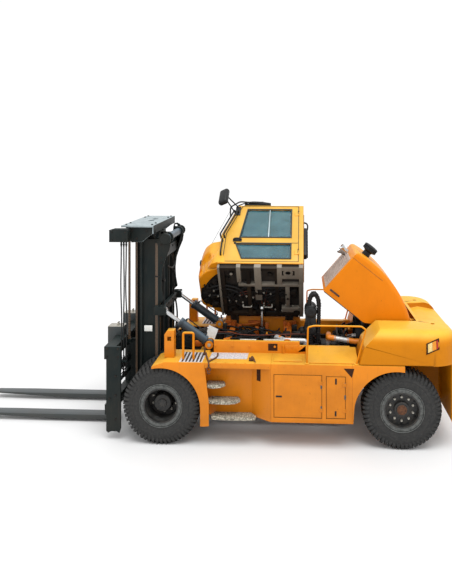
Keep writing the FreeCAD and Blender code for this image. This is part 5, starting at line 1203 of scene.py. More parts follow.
def build_cab_inside():
    finish_node("steering_column", "black plastic")
    floor = CAB_FLOOR_Z
    bm = bmesh.new()
    cushion(bm, -1.69, -1.17, -0.25, 0.25, floor + 0.239, floor + 0.38, 0.012, 2)
    piece("seat_cushion", bm, "woven seat cloth", "cab", ["seat"], smooth=80)
    cushion(bm, -0.075, 0.065, -0.24, 0.24, 0.0, 0.64, 0.012, 0)
    lean = Matrix.Translation((-1.63, 0, floor + 0.31)) @ Matrix.Rotation(math.radians(-7), 4, "Y")
    bmesh.ops.transform(bm, matrix=lean, verts=bm.verts)
    piece("seat_back", bm, "woven seat cloth", "cab", smooth=80)
    block(bm, -1.65, -1.26, -0.19, 0.19, floor + 0.001, floor + 0.235, 0.02)
    row_of_blocks(bm, 6, (0, 0, 0.035), -1.66, -1.25, -0.2, 0.2, floor + 0.02, floor + 0.035, 0.004)
    for y in (-0.33, 0.26):
        block(bm, -1.62, -1.26, y, y + 0.07, floor + 0.435, floor + 0.495, 0.02)
    block(bm, -0.82, -0.7, -0.42, 0.42, 1.98, 2.1, 0.03)
    block(bm, -0.86, -0.8, -0.16, 0.16, 2.06, 2.13, 0.015)
    for y in (-0.46, -0.4, -0.34):
        bar(bm, (-1.25, y, floor + 0.4), (-1.23, y, floor + 0.62), 0.007, 8)
        lathe(bm, [(0.0, 0.03), (0.016, 0.022), (0.02, 0.0), (0.012, -0.02), (0.0, -0.024)],
            (-1.23, y, floor + 0.63), UP, 16)
    block(bm, -1.7, -1.18, -0.52, -0.3, floor + 0.001, floor + 0.4, 0.03)
    piece("cab_fittings", bm, "black plastic", "cab")
    block(bm, -2.009, -0.691, -0.559, 0.559, floor - 0.001, floor + 0.006)
    block(bm, -2.009, -2.003, -0.559, 0.559, floor, 2.02)
    block(bm, -2.009, -0.95, -0.555, 0.555, 2.862, 2.869)
    piece("cab_lining", bm, "cab lining", "cab")


class FORKLIFT_OT_cab_inside(bpy.types.Operator):
    """Padded seat, steering wheel, dash, levers and lining"""
    bl_idname = "forklift.cab_inside"
    bl_label = "Cab inside"

    def execute(self, context):
        build_cab_inside()
        return {"FINISHED"}


def corrugated(bm, line, radius):
    """A ribbed hose along a line of points."""
    tube(bm, line, radius * 0.86)
    for a, b in zip(line, line[1:]):
        a, b = Vector(a), Vector(b)
        count = max(1, int((b - a).length / (radius * 0.9)))
        for k in range(count):
            lathe(bm, [(radius * 0.8, -radius * 0.25), (radius * 1.05, -radius * 0.12),
                (radius * 1.05, radius * 0.12), (radius * 0.8, radius * 0.25)],
                a.lerp(b, (k + 0.5) / count), (b - a), 14)


def arc(centre, radii, start, end, count, axis="Y"):
    """Points on an ellipse in an upright plane (axis Y) or a level one (axis Z), angles in degrees."""
    points = []
    for i in range(count):
        angle = math.radians(start + (end - start) * i / (count - 1))
        a, b = radii[0] * math.cos(angle), radii[1] * math.sin(angle)
        step = Vector((a, 0, b)) if axis == "Y" else Vector((a, b, 0))
        points.append(Vector(centre) + step)
    return points


def spread(i, step, start=0.0):
    """The i-th of a row of shares between 0 and 1 that never settle into a pattern."""
    return (i * step + start) % 1.0


def tangle(bm, count, low, high, radius, seed=1.0):
    """Loose hoses that wander through a box, each on its own repeatable path."""
    span = Vector(high) - Vector(low)
    for i in range(count):
        points = []
        for k in range(5):
            t = k / 4
            share = [0.5 + 0.5 * math.sin(seed * 7.3 + i * (2.1 + n) + t * (2.0 + 0.9 * n)
                * (1 + 0.3 * math.sin(i))) for n in range(3)]
            share[0] = min(1.0, max(0.0, 0.35 * share[0] + 0.65 * spread(i, 0.37, t * 0.55)))
            points.append(Vector(low) + Vector([span[n] * share[n] for n in range(3)]))
        points.sort(key=lambda p: p.x)
        tube(bm, points, radius * (0.7 + 0.5 * spread(i, 0.618)))


def build_cab_underside():
    finish_node("cab_underframe", "underbody enamel")
    finish_node("cab_hinges", "underbody enamel")
    bm = bmesh.new()
    # near-black floor pan: painted shade in the recesses between the floor bars
    block(bm, -2.03, -0.67, -0.585, 0.585, PAN_Z, 1.4199)
    piece("floor_pan", bm, "underside coating and shade", "cab")
    # pale bars and panels of the floor frame
    for x0, x1, y0, y1, drop in ((-1.03, -0.96, 0.24, 0.585, 0.0785),
            (-1.36, -1.25, -0.18, 0.585, 0.0782), (-2.045, -1.975, -0.58, 0.585, 0.0776),
            (-1.98, -0.98, 0.145, 0.195, 0.0779), (-1.82, -1.75, -0.34, 0.15, 0.0784),
            (-2.0, -1.68, -0.47, -0.37, 0.0772), (-1.7, -1.62, 0.195, 0.585, 0.0774)):
        block(bm, x0, x1, y0, y1, PAN_Z - drop, PAN_Z, 0.004)
    gasket(bm, [(x, y, 1.3412) for x, y in ((-1.98, 0.33), (-1.62, 0.33), (-1.62, 0.585),
        (-1.98, 0.585))], 0.075, (0, 0, 0.004))
    lathe(bm, [(0.045, 0.0), (0.075, 0.0), (0.08, 0.006), (0.08, 0.022), (0.045, 0.022)],
        (-1.8, 0.455, 1.3402), UP, 32, closed=True)
    block(bm, -0.69, -0.652, -0.57, 0.57, 1.3425, PAN_Z, 0.006)
    piece("floor_ribs", bm, "worn frame paint", "cab")
    # black blocks, pumps, valves and brackets between the bars
    for i in range(26):
        x = -0.76 - 1.2 * spread(i, 0.618)
        y = 0.1 - 0.6 * spread(i, 0.754, 0.13)
        a = 0.03 + 0.04 * spread(i, 0.31)
        b = 0.025 + 0.04 * spread(i, 0.47)
        c = 0.035 + 0.055 * spread(i, 0.23)
        if i % 3:
            block(bm, x - a, x + a, y - b, y + b, PAN_Z - c, PAN_Z, 0.006)
        else:
            bar(bm, (x, y, PAN_Z - c), (x, y, PAN_Z), b, 16)
            bar(bm, (x, y, PAN_Z - c - 0.018), (x, y, PAN_Z), b * 0.5, 12)
    for x, y in ((-0.87, 0.4), (-0.8, 0.28), (-1.15, 0.4), (-1.5, 0.38)):
        bar(bm, (x, y, 1.375), (x, y, PAN_Z), 0.034, 18)
    piece("cab_valve_blocks", bm, "cast iron", "cab")
    for x in (-1.1, -1.45):
        bent(bm, [(x + 0.07, -0.3, 1.4), (x + 0.07, -0.34, 1.33), (x - 0.07, -0.34, 1.33),
            (x - 0.07, -0.3, 1.4)], 0.012, 0.03)
    for i in range(14):
        x = -0.74 - 1.24 * spread(i, 0.618, 0.2)
        y = 0.08 - 0.52 * spread(i, 0.41, 0.3)
        bolt(bm, (x, y, 1.352), (0, 0, -1), 0.013, 0.012)
    bar(bm, (-0.87, 0.4, 1.366), (-0.87, 0.4, 1.376), 0.024, 18)
    for x, y in ((-0.56, 0.03), (-0.48, -0.08), (-0.62, -0.1)):
        bar(bm, (x, y, 1.33), (x, y, 1.39), 0.014, 8)
    piece("underside_fittings", bm, "galvanised steel", "cab")
    tangle(bm, 16, (-1.95, -0.5, 1.354), (-0.72, 0.12, 1.395), 0.01, 1.0)
    tangle(bm, 8, (-1.2, -0.4, 1.356), (-0.4, 0.14, 1.39), 0.012, 2.4)
    tube(bm, [(-0.95, 0.25, 1.4), (-1.1, 0.22, 1.36), (-1.3, 0.1, 1.354), (-1.6, 0.1, 1.356),
        (-1.9, 0.12, 1.4)], 0.012)
    piece("underside_hoses", bm, "hose rubber", "cab")
    # two corrugated conduits that arch under the nose
    for shift in (0.0, 0.075):
        corrugated(bm, arc((-0.72, -0.1 - shift, 1.368), (0.34 - shift * 0.6, 0.235), 175, 20, 14, "Z"),
            0.026)
    corrugated(bm, arc((-0.62, -0.22, 1.364), (0.2, 0.13), 200, -30, 10, "Z"), 0.022)
    piece("corrugated_loops", bm, "hose rubber", "cab")
    tangle(bm, 4, (-1.8, -0.45, 1.348), (-0.8, 0.05, 1.39), 0.005, 3.7)
    piece("underside_wires", bm, "wire tape", "cab")


class FORKLIFT_OT_cab_underside(bpy.types.Operator):
    """Coated floor pan, frame bars, hoses, valve blocks and wiring under the tilted cab"""
    bl_idname = "forklift.cab_underside"
    bl_label = "Cab underside"

    def execute(self, context):
        build_cab_underside()
        return {"FINISHED"}


def build_hood():
    softened("hood", 0.007, "hood enamel", "hood", 3, 0.12)
    # louvred panel in the front face, under a strip of paint
    bm = bmesh.new()

    def face(y, up, out=0.0):
        return Vector((-2.345 - 0.051 * up + out, y, 1.165 + up))
    plate(bm, [face(y, u, 0.0008)
        for y, u in ((-0.47, 0.055), (0.47, 0.055), (0.47, 0.64), (-0.47, 0.64))], (0.004, 0, 0))
    row_of(bm, 14, (-0.0019, 0, 0.0375),
        lambda: plate(bm, [face(-0.43, 0.095, 0.004), face(0.43, 0.095, 0.004), face(0.43, 0.104, 0.018),
        face(-0.43, 0.104, 0.018)], (0, 0, 0.014)))
    piece("hood_louvres", bm, "hood grille paint", "hood")

    # dark strips for the handle slots (painted shade in the slots), joint line and rubber lip along the
    # lower edges
    def side_trim():
        block(bm, -2.585, -2.41, HOOD_HALF - 0.001, HOOD_HALF + 0.003, 1.236, 1.264, 0.001)
        block(bm, -3.02, -2.36, HOOD_HALF - 0.022, HOOD_HALF + 0.003, 1.16, 1.172, 0.003)
        block(bm, -2.95, -2.37, HOOD_HALF - 0.001, HOOD_HALF + 0.0012, 1.845, 1.849)
    both(bm, side_trim)
    piece("hood_slots", bm, "seal rubber", "hood")

    def handle():
        bent(bm, [(-2.44, HOOD_HALF - 0.004, 1.25), (-2.44, HOOD_HALF + 0.022, 1.25),
            (-2.55, HOOD_HALF + 0.022, 1.25), (-2.55, HOOD_HALF - 0.004, 1.25)], 0.007, 0.012)
    both(bm, handle)
    piece("hood_handles", bm, "rusted iron", "hood")
    # stiffening frame and foam inside the hood
    for x in (-2.55, -2.95):
        block(bm, x - 0.02, x + 0.02, -0.526, 0.526, 1.88, 1.924, 0.004)
        both(bm, lambda: block(bm, x - 0.02, x + 0.02, 0.5, 0.527, 1.25, 1.9, 0.004))
    block(bm, -3.0, -2.4, -0.5, 0.5, 1.9245, 1.9275)
    piece("hood_ribs", bm, "cab lining", "hood")
    # air pre-cleaner: neck, vaned drum and domed cap
    cx, cy = -2.563, 0.2
    lathe(bm, [(0.062, 1.935), (0.062, 2.035), (0.085, 2.05), (0.11, 2.056), (0.1175, 2.07),
        (0.1175, 2.078), (0.108, 2.084), (0.108, 2.112), (0.1175, 2.118), (0.1175, 2.128), (0.1, 2.143),
        (0.06, 2.149), (0.0, 2.15)], (cx, cy, 0), UP, 40)
    ring_of(bm, 20, (cx, cy, 2.1), UP, lambda: block(bm, cx + 0.104, cx + 0.115, cy - 0.003, cy + 0.003,
        2.082, 2.114))
    lathe(bm, band(0.06, 0.068, 1.975, 1.995), (cx, cy, 0), UP, 32)
    piece("pre_cleaner", bm, "black plastic", "hood", ["air_intake_cap"])
    # exhaust bell, rolled from stainless sheet
    py, pz = -0.2, 1.78
    lathe(bm, [(0.05, -2.372), (0.062, -2.372), (0.062, -2.3), (0.07, -2.285), (0.083, -2.262),
        (0.084, -2.238), (0.08, -2.2355), (0.066, -2.26), (0.052, -2.29), (0.05, -2.33)], (0, py, pz),
        AHEAD, 40, closed=True)
    piece("exhaust_bell", bm, "hard chrome", "hood", ["exhaust_outlet"])
    bar(bm, (-2.37, py, pz), (-2.33, py, pz), 0.0505, 28)
    piece("exhaust_throat", bm, "rusted iron", "hood")


class FORKLIFT_OT_hood(bpy.types.Operator):
    """Rear hood skin with louvres, lip seal, handle, pre-cleaner and exhaust bell"""
    bl_idname = "forklift.hood"
    bl_label = "Hood"

    def execute(self, context):
        build_hood()
        return {"FINISHED"}


def build_engine():
    finish_node("powertrain drive_axle steer_axle knuckle_left knuckle_right", "cast iron")
    finish_node("cab_rests", "engine enamel")
    top = ENGINE_TOP_Z
    # cylinder head, rocker covers, manifolds and flywheel housing of an in-line six
    bm = bmesh.new()
    block(bm, -2.325, -1.52, -0.18, 0.14, top - 0.002, top + 0.115, 0.012)
    block(bm, -2.52, -2.3, -0.18, 0.14, top - 0.002, top + 0.04, 0.008)
    row_of_blocks(bm, 5, (-0.158, 0, 0), -1.68, -1.55, -0.13, 0.09, top + 0.11, top + 0.175, 0.022)
    block(bm, -2.32, -1.54, 0.15, 0.225, top + 0.015, top + 0.085, 0.02)
    row_of(bm, 5, (-0.158, 0, 0), lambda: bar(bm, (-1.62, 0.1, top + 0.05), (-1.62, 0.17, top + 0.05),
        0.032, 16))
    block(bm, -1.5, -1.44, -0.3, 0.3, top - 0.3, top + 0.09, 0.015)
    lathe(bm, [(0.0, -0.06), (0.06, -0.06), (0.088, -0.03), (0.088, 0.02), (0.06, 0.05), (0.035, 0.07),
        (0.0, 0.07)], (-2.02, -0.26, top + 0.12), AHEAD, 28)
    bar(bm, (-2.02, -0.26, top), (-2.02, -0.26, top + 0.06), 0.06, 16)
    for x, r in ((-2.56, 0.075), (-2.6, 0.05)):
        bar(bm, (x, 0.22, top - 0.02), (x - 0.03, 0.22, top - 0.02), r, 24)
    block(bm, -2.6, -2.44, 0.2, 0.33, top - 0.001, top + 0.1, 0.02)
    piece("engine_head", bm, "cast iron", "chassis")
    # gearbox lid, filters, pumps and control valves forward of the engine
    block(bm, -1.23, -0.62, -0.28, 0.28, 1.0395, 1.085, 0.01)
    for x, y in ((-0.78, 0.2), (-0.92, 0.2)):
        bar(bm, (x, y, 1.08), (x, y, 1.215), 0.055, 24)
    block(bm, -1.16, -1.02, -0.22, 0.1, 1.08, 1.18, 0.01)
    row_of(bm, 4, (0, 0.07, 0), lambda: bar(bm, (-1.09, -0.18, 1.18), (-1.09, -0.18, 1.215), 0.02, 12))
    for x in (-1.2, -0.9, -0.66):
        for y in (-0.25, 0.25):
            bolt(bm, (x, y, 1.085), UP, 0.012, 0.01)
    block(bm, -0.53, -0.3, 0.16, 0.3, 1.151, 1.32, 0.012)
    block(bm, -0.53, -0.3, -0.3, -0.1, 1.151, 1.27, 0.012)
    piece("gearbox_top", bm, "cast iron", "chassis")
    # radiator: finned core, tanks and shroud
    finish_node("radiator", "black plastic")
    row_of_blocks(bm, 22, (0, 0.04, 0), -2.9595, -2.952, -0.445, -0.425, 1.17, 1.43, 0.002)
    block(bm, -3.162, -2.955, -0.472, 0.472, 1.435, 1.478, 0.01)
    bar(bm, (-3.06, -0.2, 1.476), (-3.06, -0.2, 1.505), 0.035, 20)
    lathe(bm, band(0.3, 0.315, 0.0, 0.09), (-2.95, 0.0, 1.3), AHEAD, 48, closed=True)
    bar(bm, (-2.95, 0, 1.3), (-2.86, 0, 1.3), 0.05, 20)
    ring_of(bm, 7, (-2.9, 0, 1.3), AHEAD, lambda: block(bm, -2.91, -2.895, -0.035, 0.035, 1.345, 1.585,
        0.006))
    piece("radiator_core", bm, "black plastic", "chassis")
    # twin air cleaner with end caps, straps and its duct
    z0, x, r = 1.36, -2.16, 0.098
    for z in (z0 + r, z0 + 0.37):
        lathe(bm, [(0.0, 0.06), (r - 0.012, 0.06), (r, 0.068), (r, 0.1), (r - 0.003, 0.104),
            (r - 0.003, 0.34), (r, 0.345), (r, 0.372), (r - 0.01, 0.38), (r - 0.014, 0.42),
            (r - 0.03, 0.43), (0.03, 0.43), (0.026, 0.424), (0.0, 0.424)], (x, 0, z), LEFT, 40)
        lathe(bm, band(r - 0.0005, r + 0.004, 0.2, 0.225), (x, 0, z), LEFT, 40)
    block(bm, x - 0.083, x + 0.083, 0.062, 0.42, z0 + r, z0 + 0.37, 0.004)
    block(bm, x - 0.038, x + 0.038, 0.232, 0.288, top + 0.001, z0 + 0.02, 0.003)
    piece("air_cleaner", bm, "black plastic", "chassis", ["air_intake"])
    low = top + 0.0005
    bent(bm, [(-1.62, 0.25, low), (-1.62, 0.25, 1.3), (-1.76, 0.4, 1.292), (-2.08, 0.41, 1.292),
        (-2.08, 0.41, 1.18), (-2.08, 0.25, 1.18), (-2.08, 0.25, low)], 0.04, 0.05, 5)
    bent(bm, [(-2.44, 0.25, low), (-2.44, 0.25, 1.36), (-2.44, 0.43, 1.36), (-2.84, 0.425, 1.3),
        (-2.9595, 0.425, 1.3)], 0.04, 0.07, 5)
    bar(bm, (-2.6, 0.1, 1.26), (-2.94, 0.16, 1.33), 0.03, 20)
    piece("charge_pipes", bm, "aluminium sheet", "chassis")
    bent(bm, [(-2.44, 0.25, 1.26), (-2.44, 0.25, 1.36), (-2.44, 0.43, 1.36), (-2.54, 0.43, 1.345)],
        0.0435, 0.07, 5)
    bent(bm, [(-2.72, 0.426, 1.318), (-2.84, 0.425, 1.3), (-2.955, 0.425, 1.3)], 0.0435, 0.03, 5)
    bent(bm, [(-1.62, 0.25, 1.21), (-1.62, 0.25, 1.3), (-1.7, 0.335, 1.3)], 0.0375, 0.05, 5)
    bar(bm, (-2.66, 0.111, 1.273), (-2.74, 0.125, 1.29), 0.034, 20)
    piece("silicone_elbows", bm, "silicone rubber", "chassis")

    def clamp(spot, way, radius):
        lathe(bm, band(radius, radius + 0.003, -0.006, 0.006), spot, way, 24)
    clamp((-2.44, 0.25, 1.275), UP, 0.0437)
    clamp((-2.525, 0.43, 1.347), (1, 0, 0.15), 0.0437)
    clamp((-2.735, 0.426, 1.316), (1, 0, 0.15), 0.0437)
    clamp((-2.945, 0.425, 1.3), AHEAD, 0.0437)
    clamp((-1.62, 0.25, 1.225), UP, 0.0377)
    block(bm, -1.76, -1.435, 0.46, 0.485, 1.308, 1.33, 0.004)
    bar(bm, (-1.07, 0.5, 1.318), (-1.32, 0.5, 1.318), 0.015, 12)
    bar(bm, (-1.434, 0.5, 1.318), (-1.752, 0.5, 1.318), 0.015, 12)
    piece("hose_clamps", bm, "galvanised steel", "chassis")
    # duct from the air cleaner, coolant hoses, fuel and oil lines
    tube(bm, [(-2.16, 0.1, 1.46), (-2.16, -0.02, 1.46), (-2.12, -0.14, 1.4), (-2.09, -0.26, 1.3),
        (-2.05, -0.26, 1.24)], 0.048, 5)
    tube(bm, [(-2.5, -0.1, 1.22), (-2.62, -0.14, 1.3), (-2.78, -0.2, 1.4), (-2.955, -0.24, 1.41)], 0.03, 5)
    tube(bm, [(-2.58, 0.26, 1.19), (-2.66, 0.3, 1.24), (-2.8, 0.32, 1.22), (-2.957, 0.33, 1.21)], 0.026, 5)
    for line in (((-0.78, 0.2, 1.21), (-0.8, 0.2, 1.27), (-0.95, 0.12, 1.289), (-1.1, -0.02, 1.27),
            (-1.09, -0.18, 1.21)), ((-0.92, 0.2, 1.21), (-0.96, 0.24, 1.26), (-1.2, 0.3, 1.27),
            (-1.45, 0.3, 1.24), (-1.6, 0.2, 1.22)),
            ((-1.09, -0.11, 1.21), (-1.12, -0.1, 1.27), (-1.3, -0.22, 1.289), (-1.52, -0.3, 1.25),
            (-1.7, -0.24, 1.18)), ((-1.09, -0.04, 1.21), (-1.02, -0.03, 1.286), (-0.8, -0.12, 1.292),
            (-0.6, -0.2, 1.287), (-0.42, -0.22, 1.26)),
            ((-1.09, 0.03, 1.21), (-1.02, 0.06, 1.287), (-0.75, 0.1, 1.296), (-0.55, 0.18, 1.296),
            (-0.42, 0.22, 1.289)), ((-0.42, 0.24, 1.289), (-0.44, 0.3, 1.299), (-0.52, 0.4, 1.293),
            (-0.56, 0.5, 1.24), (-0.58, 0.54, 1.17)),
            ((-1.54, 0.24, 1.13), (-1.5, 0.32, 1.22), (-1.36, 0.36, 1.22), (-1.24, 0.34, 1.12),
            (-1.2, 0.3, 1.05)), ((-2.3, 0.24, 1.19), (-2.32, 0.32, 1.26), (-2.2, 0.38, 1.22),
            (-1.95, 0.36, 1.17), (-1.8, 0.3, 1.12))):
        tube(bm, line, 0.013)
    tangle(bm, 12, (-1.95, -0.45, 1.13), (-0.62, 0.36, 1.29), 0.013, 0.7)
    tangle(bm, 9, (-3.0, -0.35, 1.16), (-2.38, 0.44, 1.4), 0.013, 1.9)
    piece("engine_hoses", bm, "hose rubber", "chassis")
    # ribbed breather hoses that arch between the air cleaner and the engine
    corrugated(bm, arc((-2.212, 0.33, 1.83), (0.078, 0.17), 190, -20, 10), 0.037)
    corrugated(bm, arc((-2.212, 0.13, 1.78), (0.078, 0.2), 185, -10, 9), 0.034)
    corrugated(bm, [(-2.288, 0.33, 1.8), (-2.285, 0.36, 1.62), (-2.28, 0.38, 1.44), (-2.27, 0.34, 1.26),
        (-2.26, 0.3, 1.12)], 0.034)
    corrugated(bm, [(-2.136, 0.33, 1.8), (-2.13, 0.39, 1.66), (-2.13, 0.42, 1.5), (-2.15, 0.4, 1.3),
        (-2.17, 0.36, 1.12)], 0.036)
    piece("breather_hoses", bm, "hose rubber", "chassis")
    # pipe bundle that runs along the far beam
    for y, z, r in ((-0.712, 1.397, 0.02), (-0.748, 1.394, 0.016), (-0.728, 1.428, 0.014)):
        tube(bm, [(-0.72, y, z), (-0.98, y, z + 0.006), (-1.3, y, z - 0.001), (-1.62, y, z + 0.008),
            (-1.96, y, z)], r)
    row_of_blocks(bm, 5, (-0.27, 0, 0), -0.86, -0.8, -0.766, -0.694, 1.378, 1.446, 0.006)
    piece("far_pipes", bm, "hose rubber", "chassis")
    # browned brackets, covers and lugs around the gearbox and along the far side
    for x0, x1, y0, y1, z0, z1 in ((-0.86, -0.7, -0.66, -0.6, 1.155, 1.325),
            (-1.38, -1.1, -0.67, -0.61, 1.24, 1.322), (-1.92, -1.7, -0.66, -0.6, 1.155, 1.33),
            (-1.0, -0.93, -0.52, -0.44, 1.155, 1.3), (-1.46, -1.4, -0.52, -0.44, 1.155, 1.325),
            (-1.62, -1.56, 0.44, 0.5, 1.155, 1.27), (-0.8, -0.62, 0.36, 0.42, 1.1, 1.19),
            (-1.12, -1.06, 0.38, 0.45, 1.04, 1.22), (-0.58, -0.34, 0.24, 0.34, 1.152, 1.24),
            (-1.3, -1.24, -0.36, -0.3, 1.1, 1.3), (-1.8, -1.72, -0.42, -0.34, 1.1, 1.29),
            (-0.95, -0.72, -0.4, -0.34, 1.08, 1.2)):
        block(bm, x0, x1, y0, y1, z0, z1, 0.008)
        bar(bm, ((x0 + x1) / 2, y0 - 0.02, (z0 + z1) / 2), ((x0 + x1) / 2, y1 + 0.02, (z0 + z1) / 2),
            0.022, 12)
    tube(bm, [(-0.6, -0.5, 1.18), (-0.8, -0.52, 1.3), (-1.05, -0.54, 1.26), (-1.3, -0.52, 1.31)], 0.016)
    tube(bm, [(-1.2, 0.44, 1.16), (-1.34, 0.46, 1.25), (-1.5, 0.46, 1.19), (-1.66, 0.45, 1.27)], 0.012)
    piece("bay_brackets", bm, "engine enamel", "chassis")
    for i in range(18):
        x = -0.66 - 1.25 * spread(i, 0.618, 0.1)
        y = -0.5 + 0.72 * spread(i, 0.754)
        top_z = 1.2 + 0.11 * spread(i, 0.37)
        r = 0.025 + 0.03 * spread(i, 0.29)
        if i % 2:
            bar(bm, (x, y, 1.08), (x, y, top_z), r, 14)
            bar(bm, (x, y, top_z - 0.01), (x, y, top_z + 0.012), r * 0.6, 6)
        else:
            block(bm, x - r, x + r, y - r, y + r, 1.08, top_z, 0.006)
    piece("bay_fittings", bm, "cast iron", "chassis")
    for line in (((-1.5, 0.12, 1.29), (-1.75, 0.14, 1.31), (-2.0, 0.1, 1.31), (-2.2, 0.16, 1.31),
            (-2.28, 0.1, 1.22), (-2.3, 0.02, 1.12)),
            ((-1.75, 0.14, 1.305), (-1.8, 0.24, 1.29), (-1.86, 0.28, 1.2), (-1.9, 0.22, 1.15)),
            ((-2.2, 0.16, 1.31), (-2.25, 0.26, 1.29), (-2.27, 0.31, 1.2), (-2.28, 0.26, 1.12)),
            ((-0.6, 0.05, 1.3), (-0.8, 0.0, 1.3), (-1.0, 0.18, 1.31), (-1.25, 0.2, 1.3),
            (-1.5, 0.12, 1.29))):
        for dy in (-0.006, 0.006):
            tube(bm, [(p[0], p[1] + dy, p[2] + dy * 0.5) for p in line], 0.007)
    piece("engine_wires", bm, "wire tape", "chassis")
    bar(bm, (-1.52, -0.05, 1.235), (-1.44, -0.05, 1.27), 0.022, 14)
    block(bm, -1.7, -1.6, 0.34, 0.425, 1.16, 1.25, 0.012)
    block(bm, -0.7, -0.5, 0.3, 0.42, 1.24, 1.252, 0.002)
    piece("yellow_parts", bm, "orange enamel", "chassis")
    plate(bm, [(-0.5, 0.31, 1.31), (-0.64, 0.31, 1.245), (-0.705, 0.3, 1.42), (-0.56, 0.3, 1.485)],
        (0, 0.004, 0))
    piece("blank_plate", bm, "white enamel plate", "chassis")


class FORKLIFT_OT_engine(bpy.types.Operator):
    """Engine, gearbox top, radiator, air cleaner, pipes, hoses and wires under the hood and cab"""
    bl_idname = "forklift.engine"
    bl_label = "Engine bay"

    def execute(self, context):
        build_engine()
        return {"FINISHED"}


def build_body(scene):
    edge = scene.forklift_sizes.body_edge
    for name in ("front_fenders", "step_wells", "side_box_left", "hydraulic_tank_right", "rear_arches",
            "lamp_posts"):
        softened(name, edge, "orange enamel", "chassis", 2, 0.05)
    softened("inner_beams", edge, "orange enamel", "chassis", 2, 0.05)
    softened("side_door_large", 0.004, "orange enamel", "side_door_large", 2, 0.04)
    softened("side_door_small", 0.004, "orange enamel", "side_door_small", 2, 0.04)
    finish_node("main_frame", "underbody enamel")
    # round rails beside the hood and upright loops on the fender decks
    bm = bmesh.new()

    def rails():
        bent(bm, [(-2.098, 1.21, DECK_Z), (-2.112, 1.21, 1.722), (-2.2, 1.21, 1.745),
            (-2.865, 1.21, 1.745), (-2.928, 1.21, 1.7), (-2.795, 1.21, DECK_Z)], 0.0125, 0.07)
        bent(bm, [(-0.305, 1.12, DECK_Z), (-0.305, 1.12, 1.59), (-0.455, 1.12, 1.59),
            (-0.455, 1.12, DECK_Z)], 0.017, 0.06)
        for x in (-2.098, -2.795):
            block(bm, x - 0.03, x + 0.03, 1.19, 1.25, DECK_Z, DECK_Z + 0.012, 0.003)
    both(bm, rails)
    piece("hand_rails", bm, "bright enamel", "chassis", ["handrails"])

    # dark plates for the triangular hand hole, the slot in the slanted panel and the slot in the beam:
    # painted shade in the openings; and dark gaps round the side doors
    def gaps():
        plate(bm, [(-2.613, BODY_HALF + 0.0006, 1.162), (-2.762, BODY_HALF + 0.0006, 1.162),
            (-2.728, BODY_HALF + 0.0006, 1.032)], (0, 0.0012, 0))
        way = Vector((-0.285, 0.21, 0)).normalized()
        side = Vector((-way.y, way.x, 0)) * -1.0
        start = Vector((-1.3, 1.05, 0)) + side * 0.0008
        plate(bm, [start + way * a + Vector((0, 0, z))
            for a, z in ((0.095, 0.915), (0.165, 0.915), (0.165, 1.13), (0.095, 1.13))], side * 0.003)
        plate(bm, [(-1.52, 0.7605, 1.24), (-1.66, 0.7605, 1.24), (-1.66, 0.7605, 1.345),
            (-1.52, 0.7605, 1.345)], (0, 0.0015, 0))
    both(bm, gaps)
    for x0, x1, z0, z1 in ((-2.308, -1.628, 0.452, 1.06), (-2.64, -2.368, 0.452, 1.045)):
        gasket(bm, [(x, BODY_HALF + 0.0002, z)
            for x, z in ((x0 - 0.001, z0 - 0.001), (x1 + 0.001, z0 - 0.001), (x1 + 0.001, z1 + 0.001),
            (x0 - 0.001, z1 + 0.001))], 0.004, (0, 0.001, 0))
    piece("door_gaps_and_hole_shade", bm, "gap paint and recess shade", "chassis")
    # sunk latches on the doors, and hinge knuckles
    for body, spots, hinges in (("side_door_large", ((-1.699, 0.75, 0.044, 0.012),),
            ((-2.3, 0.899), (-2.3, 0.594))),
            ("side_door_small", ((-2.505, 0.977, 0.012, 0.042), (-2.5, 0.523, 0.012, 0.036)),
            ((-2.634, 0.929), (-2.634, 0.756)))):
        for x, z, a, b in spots:
            block(bm, x - a, x + a, BODY_HALF - 0.001, BODY_HALF + 0.004, z - b, z + b, 0.002)
            bar(bm, (x, BODY_HALF + 0.003, z), (x, BODY_HALF + 0.009, z), 0.008, 14)
        piece(body + "_latches", bm, "black plastic", body)
        for x, z in hinges:
            block(bm, x - 0.012, x + 0.012, BODY_HALF - 0.001, BODY_HALF + 0.004, z - 0.03, z + 0.03, 0.002)
            bar(bm, (x - 0.004, BODY_HALF + 0.004, z - 0.026), (x - 0.004, BODY_HALF + 0.004, z + 0.026),
                0.006, 10)
        piece(body + "_knuckles", bm, "rim steel", body)
    # cover over the slotted end of each beam, and two upright bars beside it
    both(bm, lambda: block(bm, -1.96, -1.775, 0.699, 0.7625, 1.215, 1.328, 0.003))
    for x in (-1.742, -1.755):
        both(bm, lambda: bar(bm, (x, 0.772, 1.205), (x, 0.772, 1.33), 0.01, 12))
    piece("beam_covers", bm, "orange enamel", "chassis")

    # lid, lifting points and tie-down on the decks
    def lids():
        block(bm, -2.03, -1.62, 0.86, 1.15, DECK_Z - 0.001, DECK_Z + 0.01, 0.003)
        bar(bm, (-1.7, 1.152, DECK_Z + 0.008), (-1.8, 1.152, DECK_Z + 0.008), 0.009, 10)
        bar(bm, (-1.9, 1.152, DECK_Z + 0.008), (-2.0, 1.152, DECK_Z + 0.008), 0.009, 10)
        block(bm, -2.86, -2.7, 1.0, 1.1, DECK_Z, DECK_Z + 0.006, 0.002)
        row_of(bm, 5, (-0.14, 0, 0), lambda: bolt(bm, (-0.8, 1.245, DECK_Z - 0.001), UP, 0.009, 0.004))
        for x in (-0.72, -0.98, -1.24, -1.62, -1.88):
            bolt(bm, (x, 0.762, 1.3), LEFT, 0.013, 0.008)
        for x in (-2.2, -2.45, -2.7):
            bolt(bm, (x, 1.05, 1.242), (0, 0.23, 0.97), 0.01, 0.006)
    both(bm, lids)
    piece("deck_lids", bm, "orange enamel", "chassis")

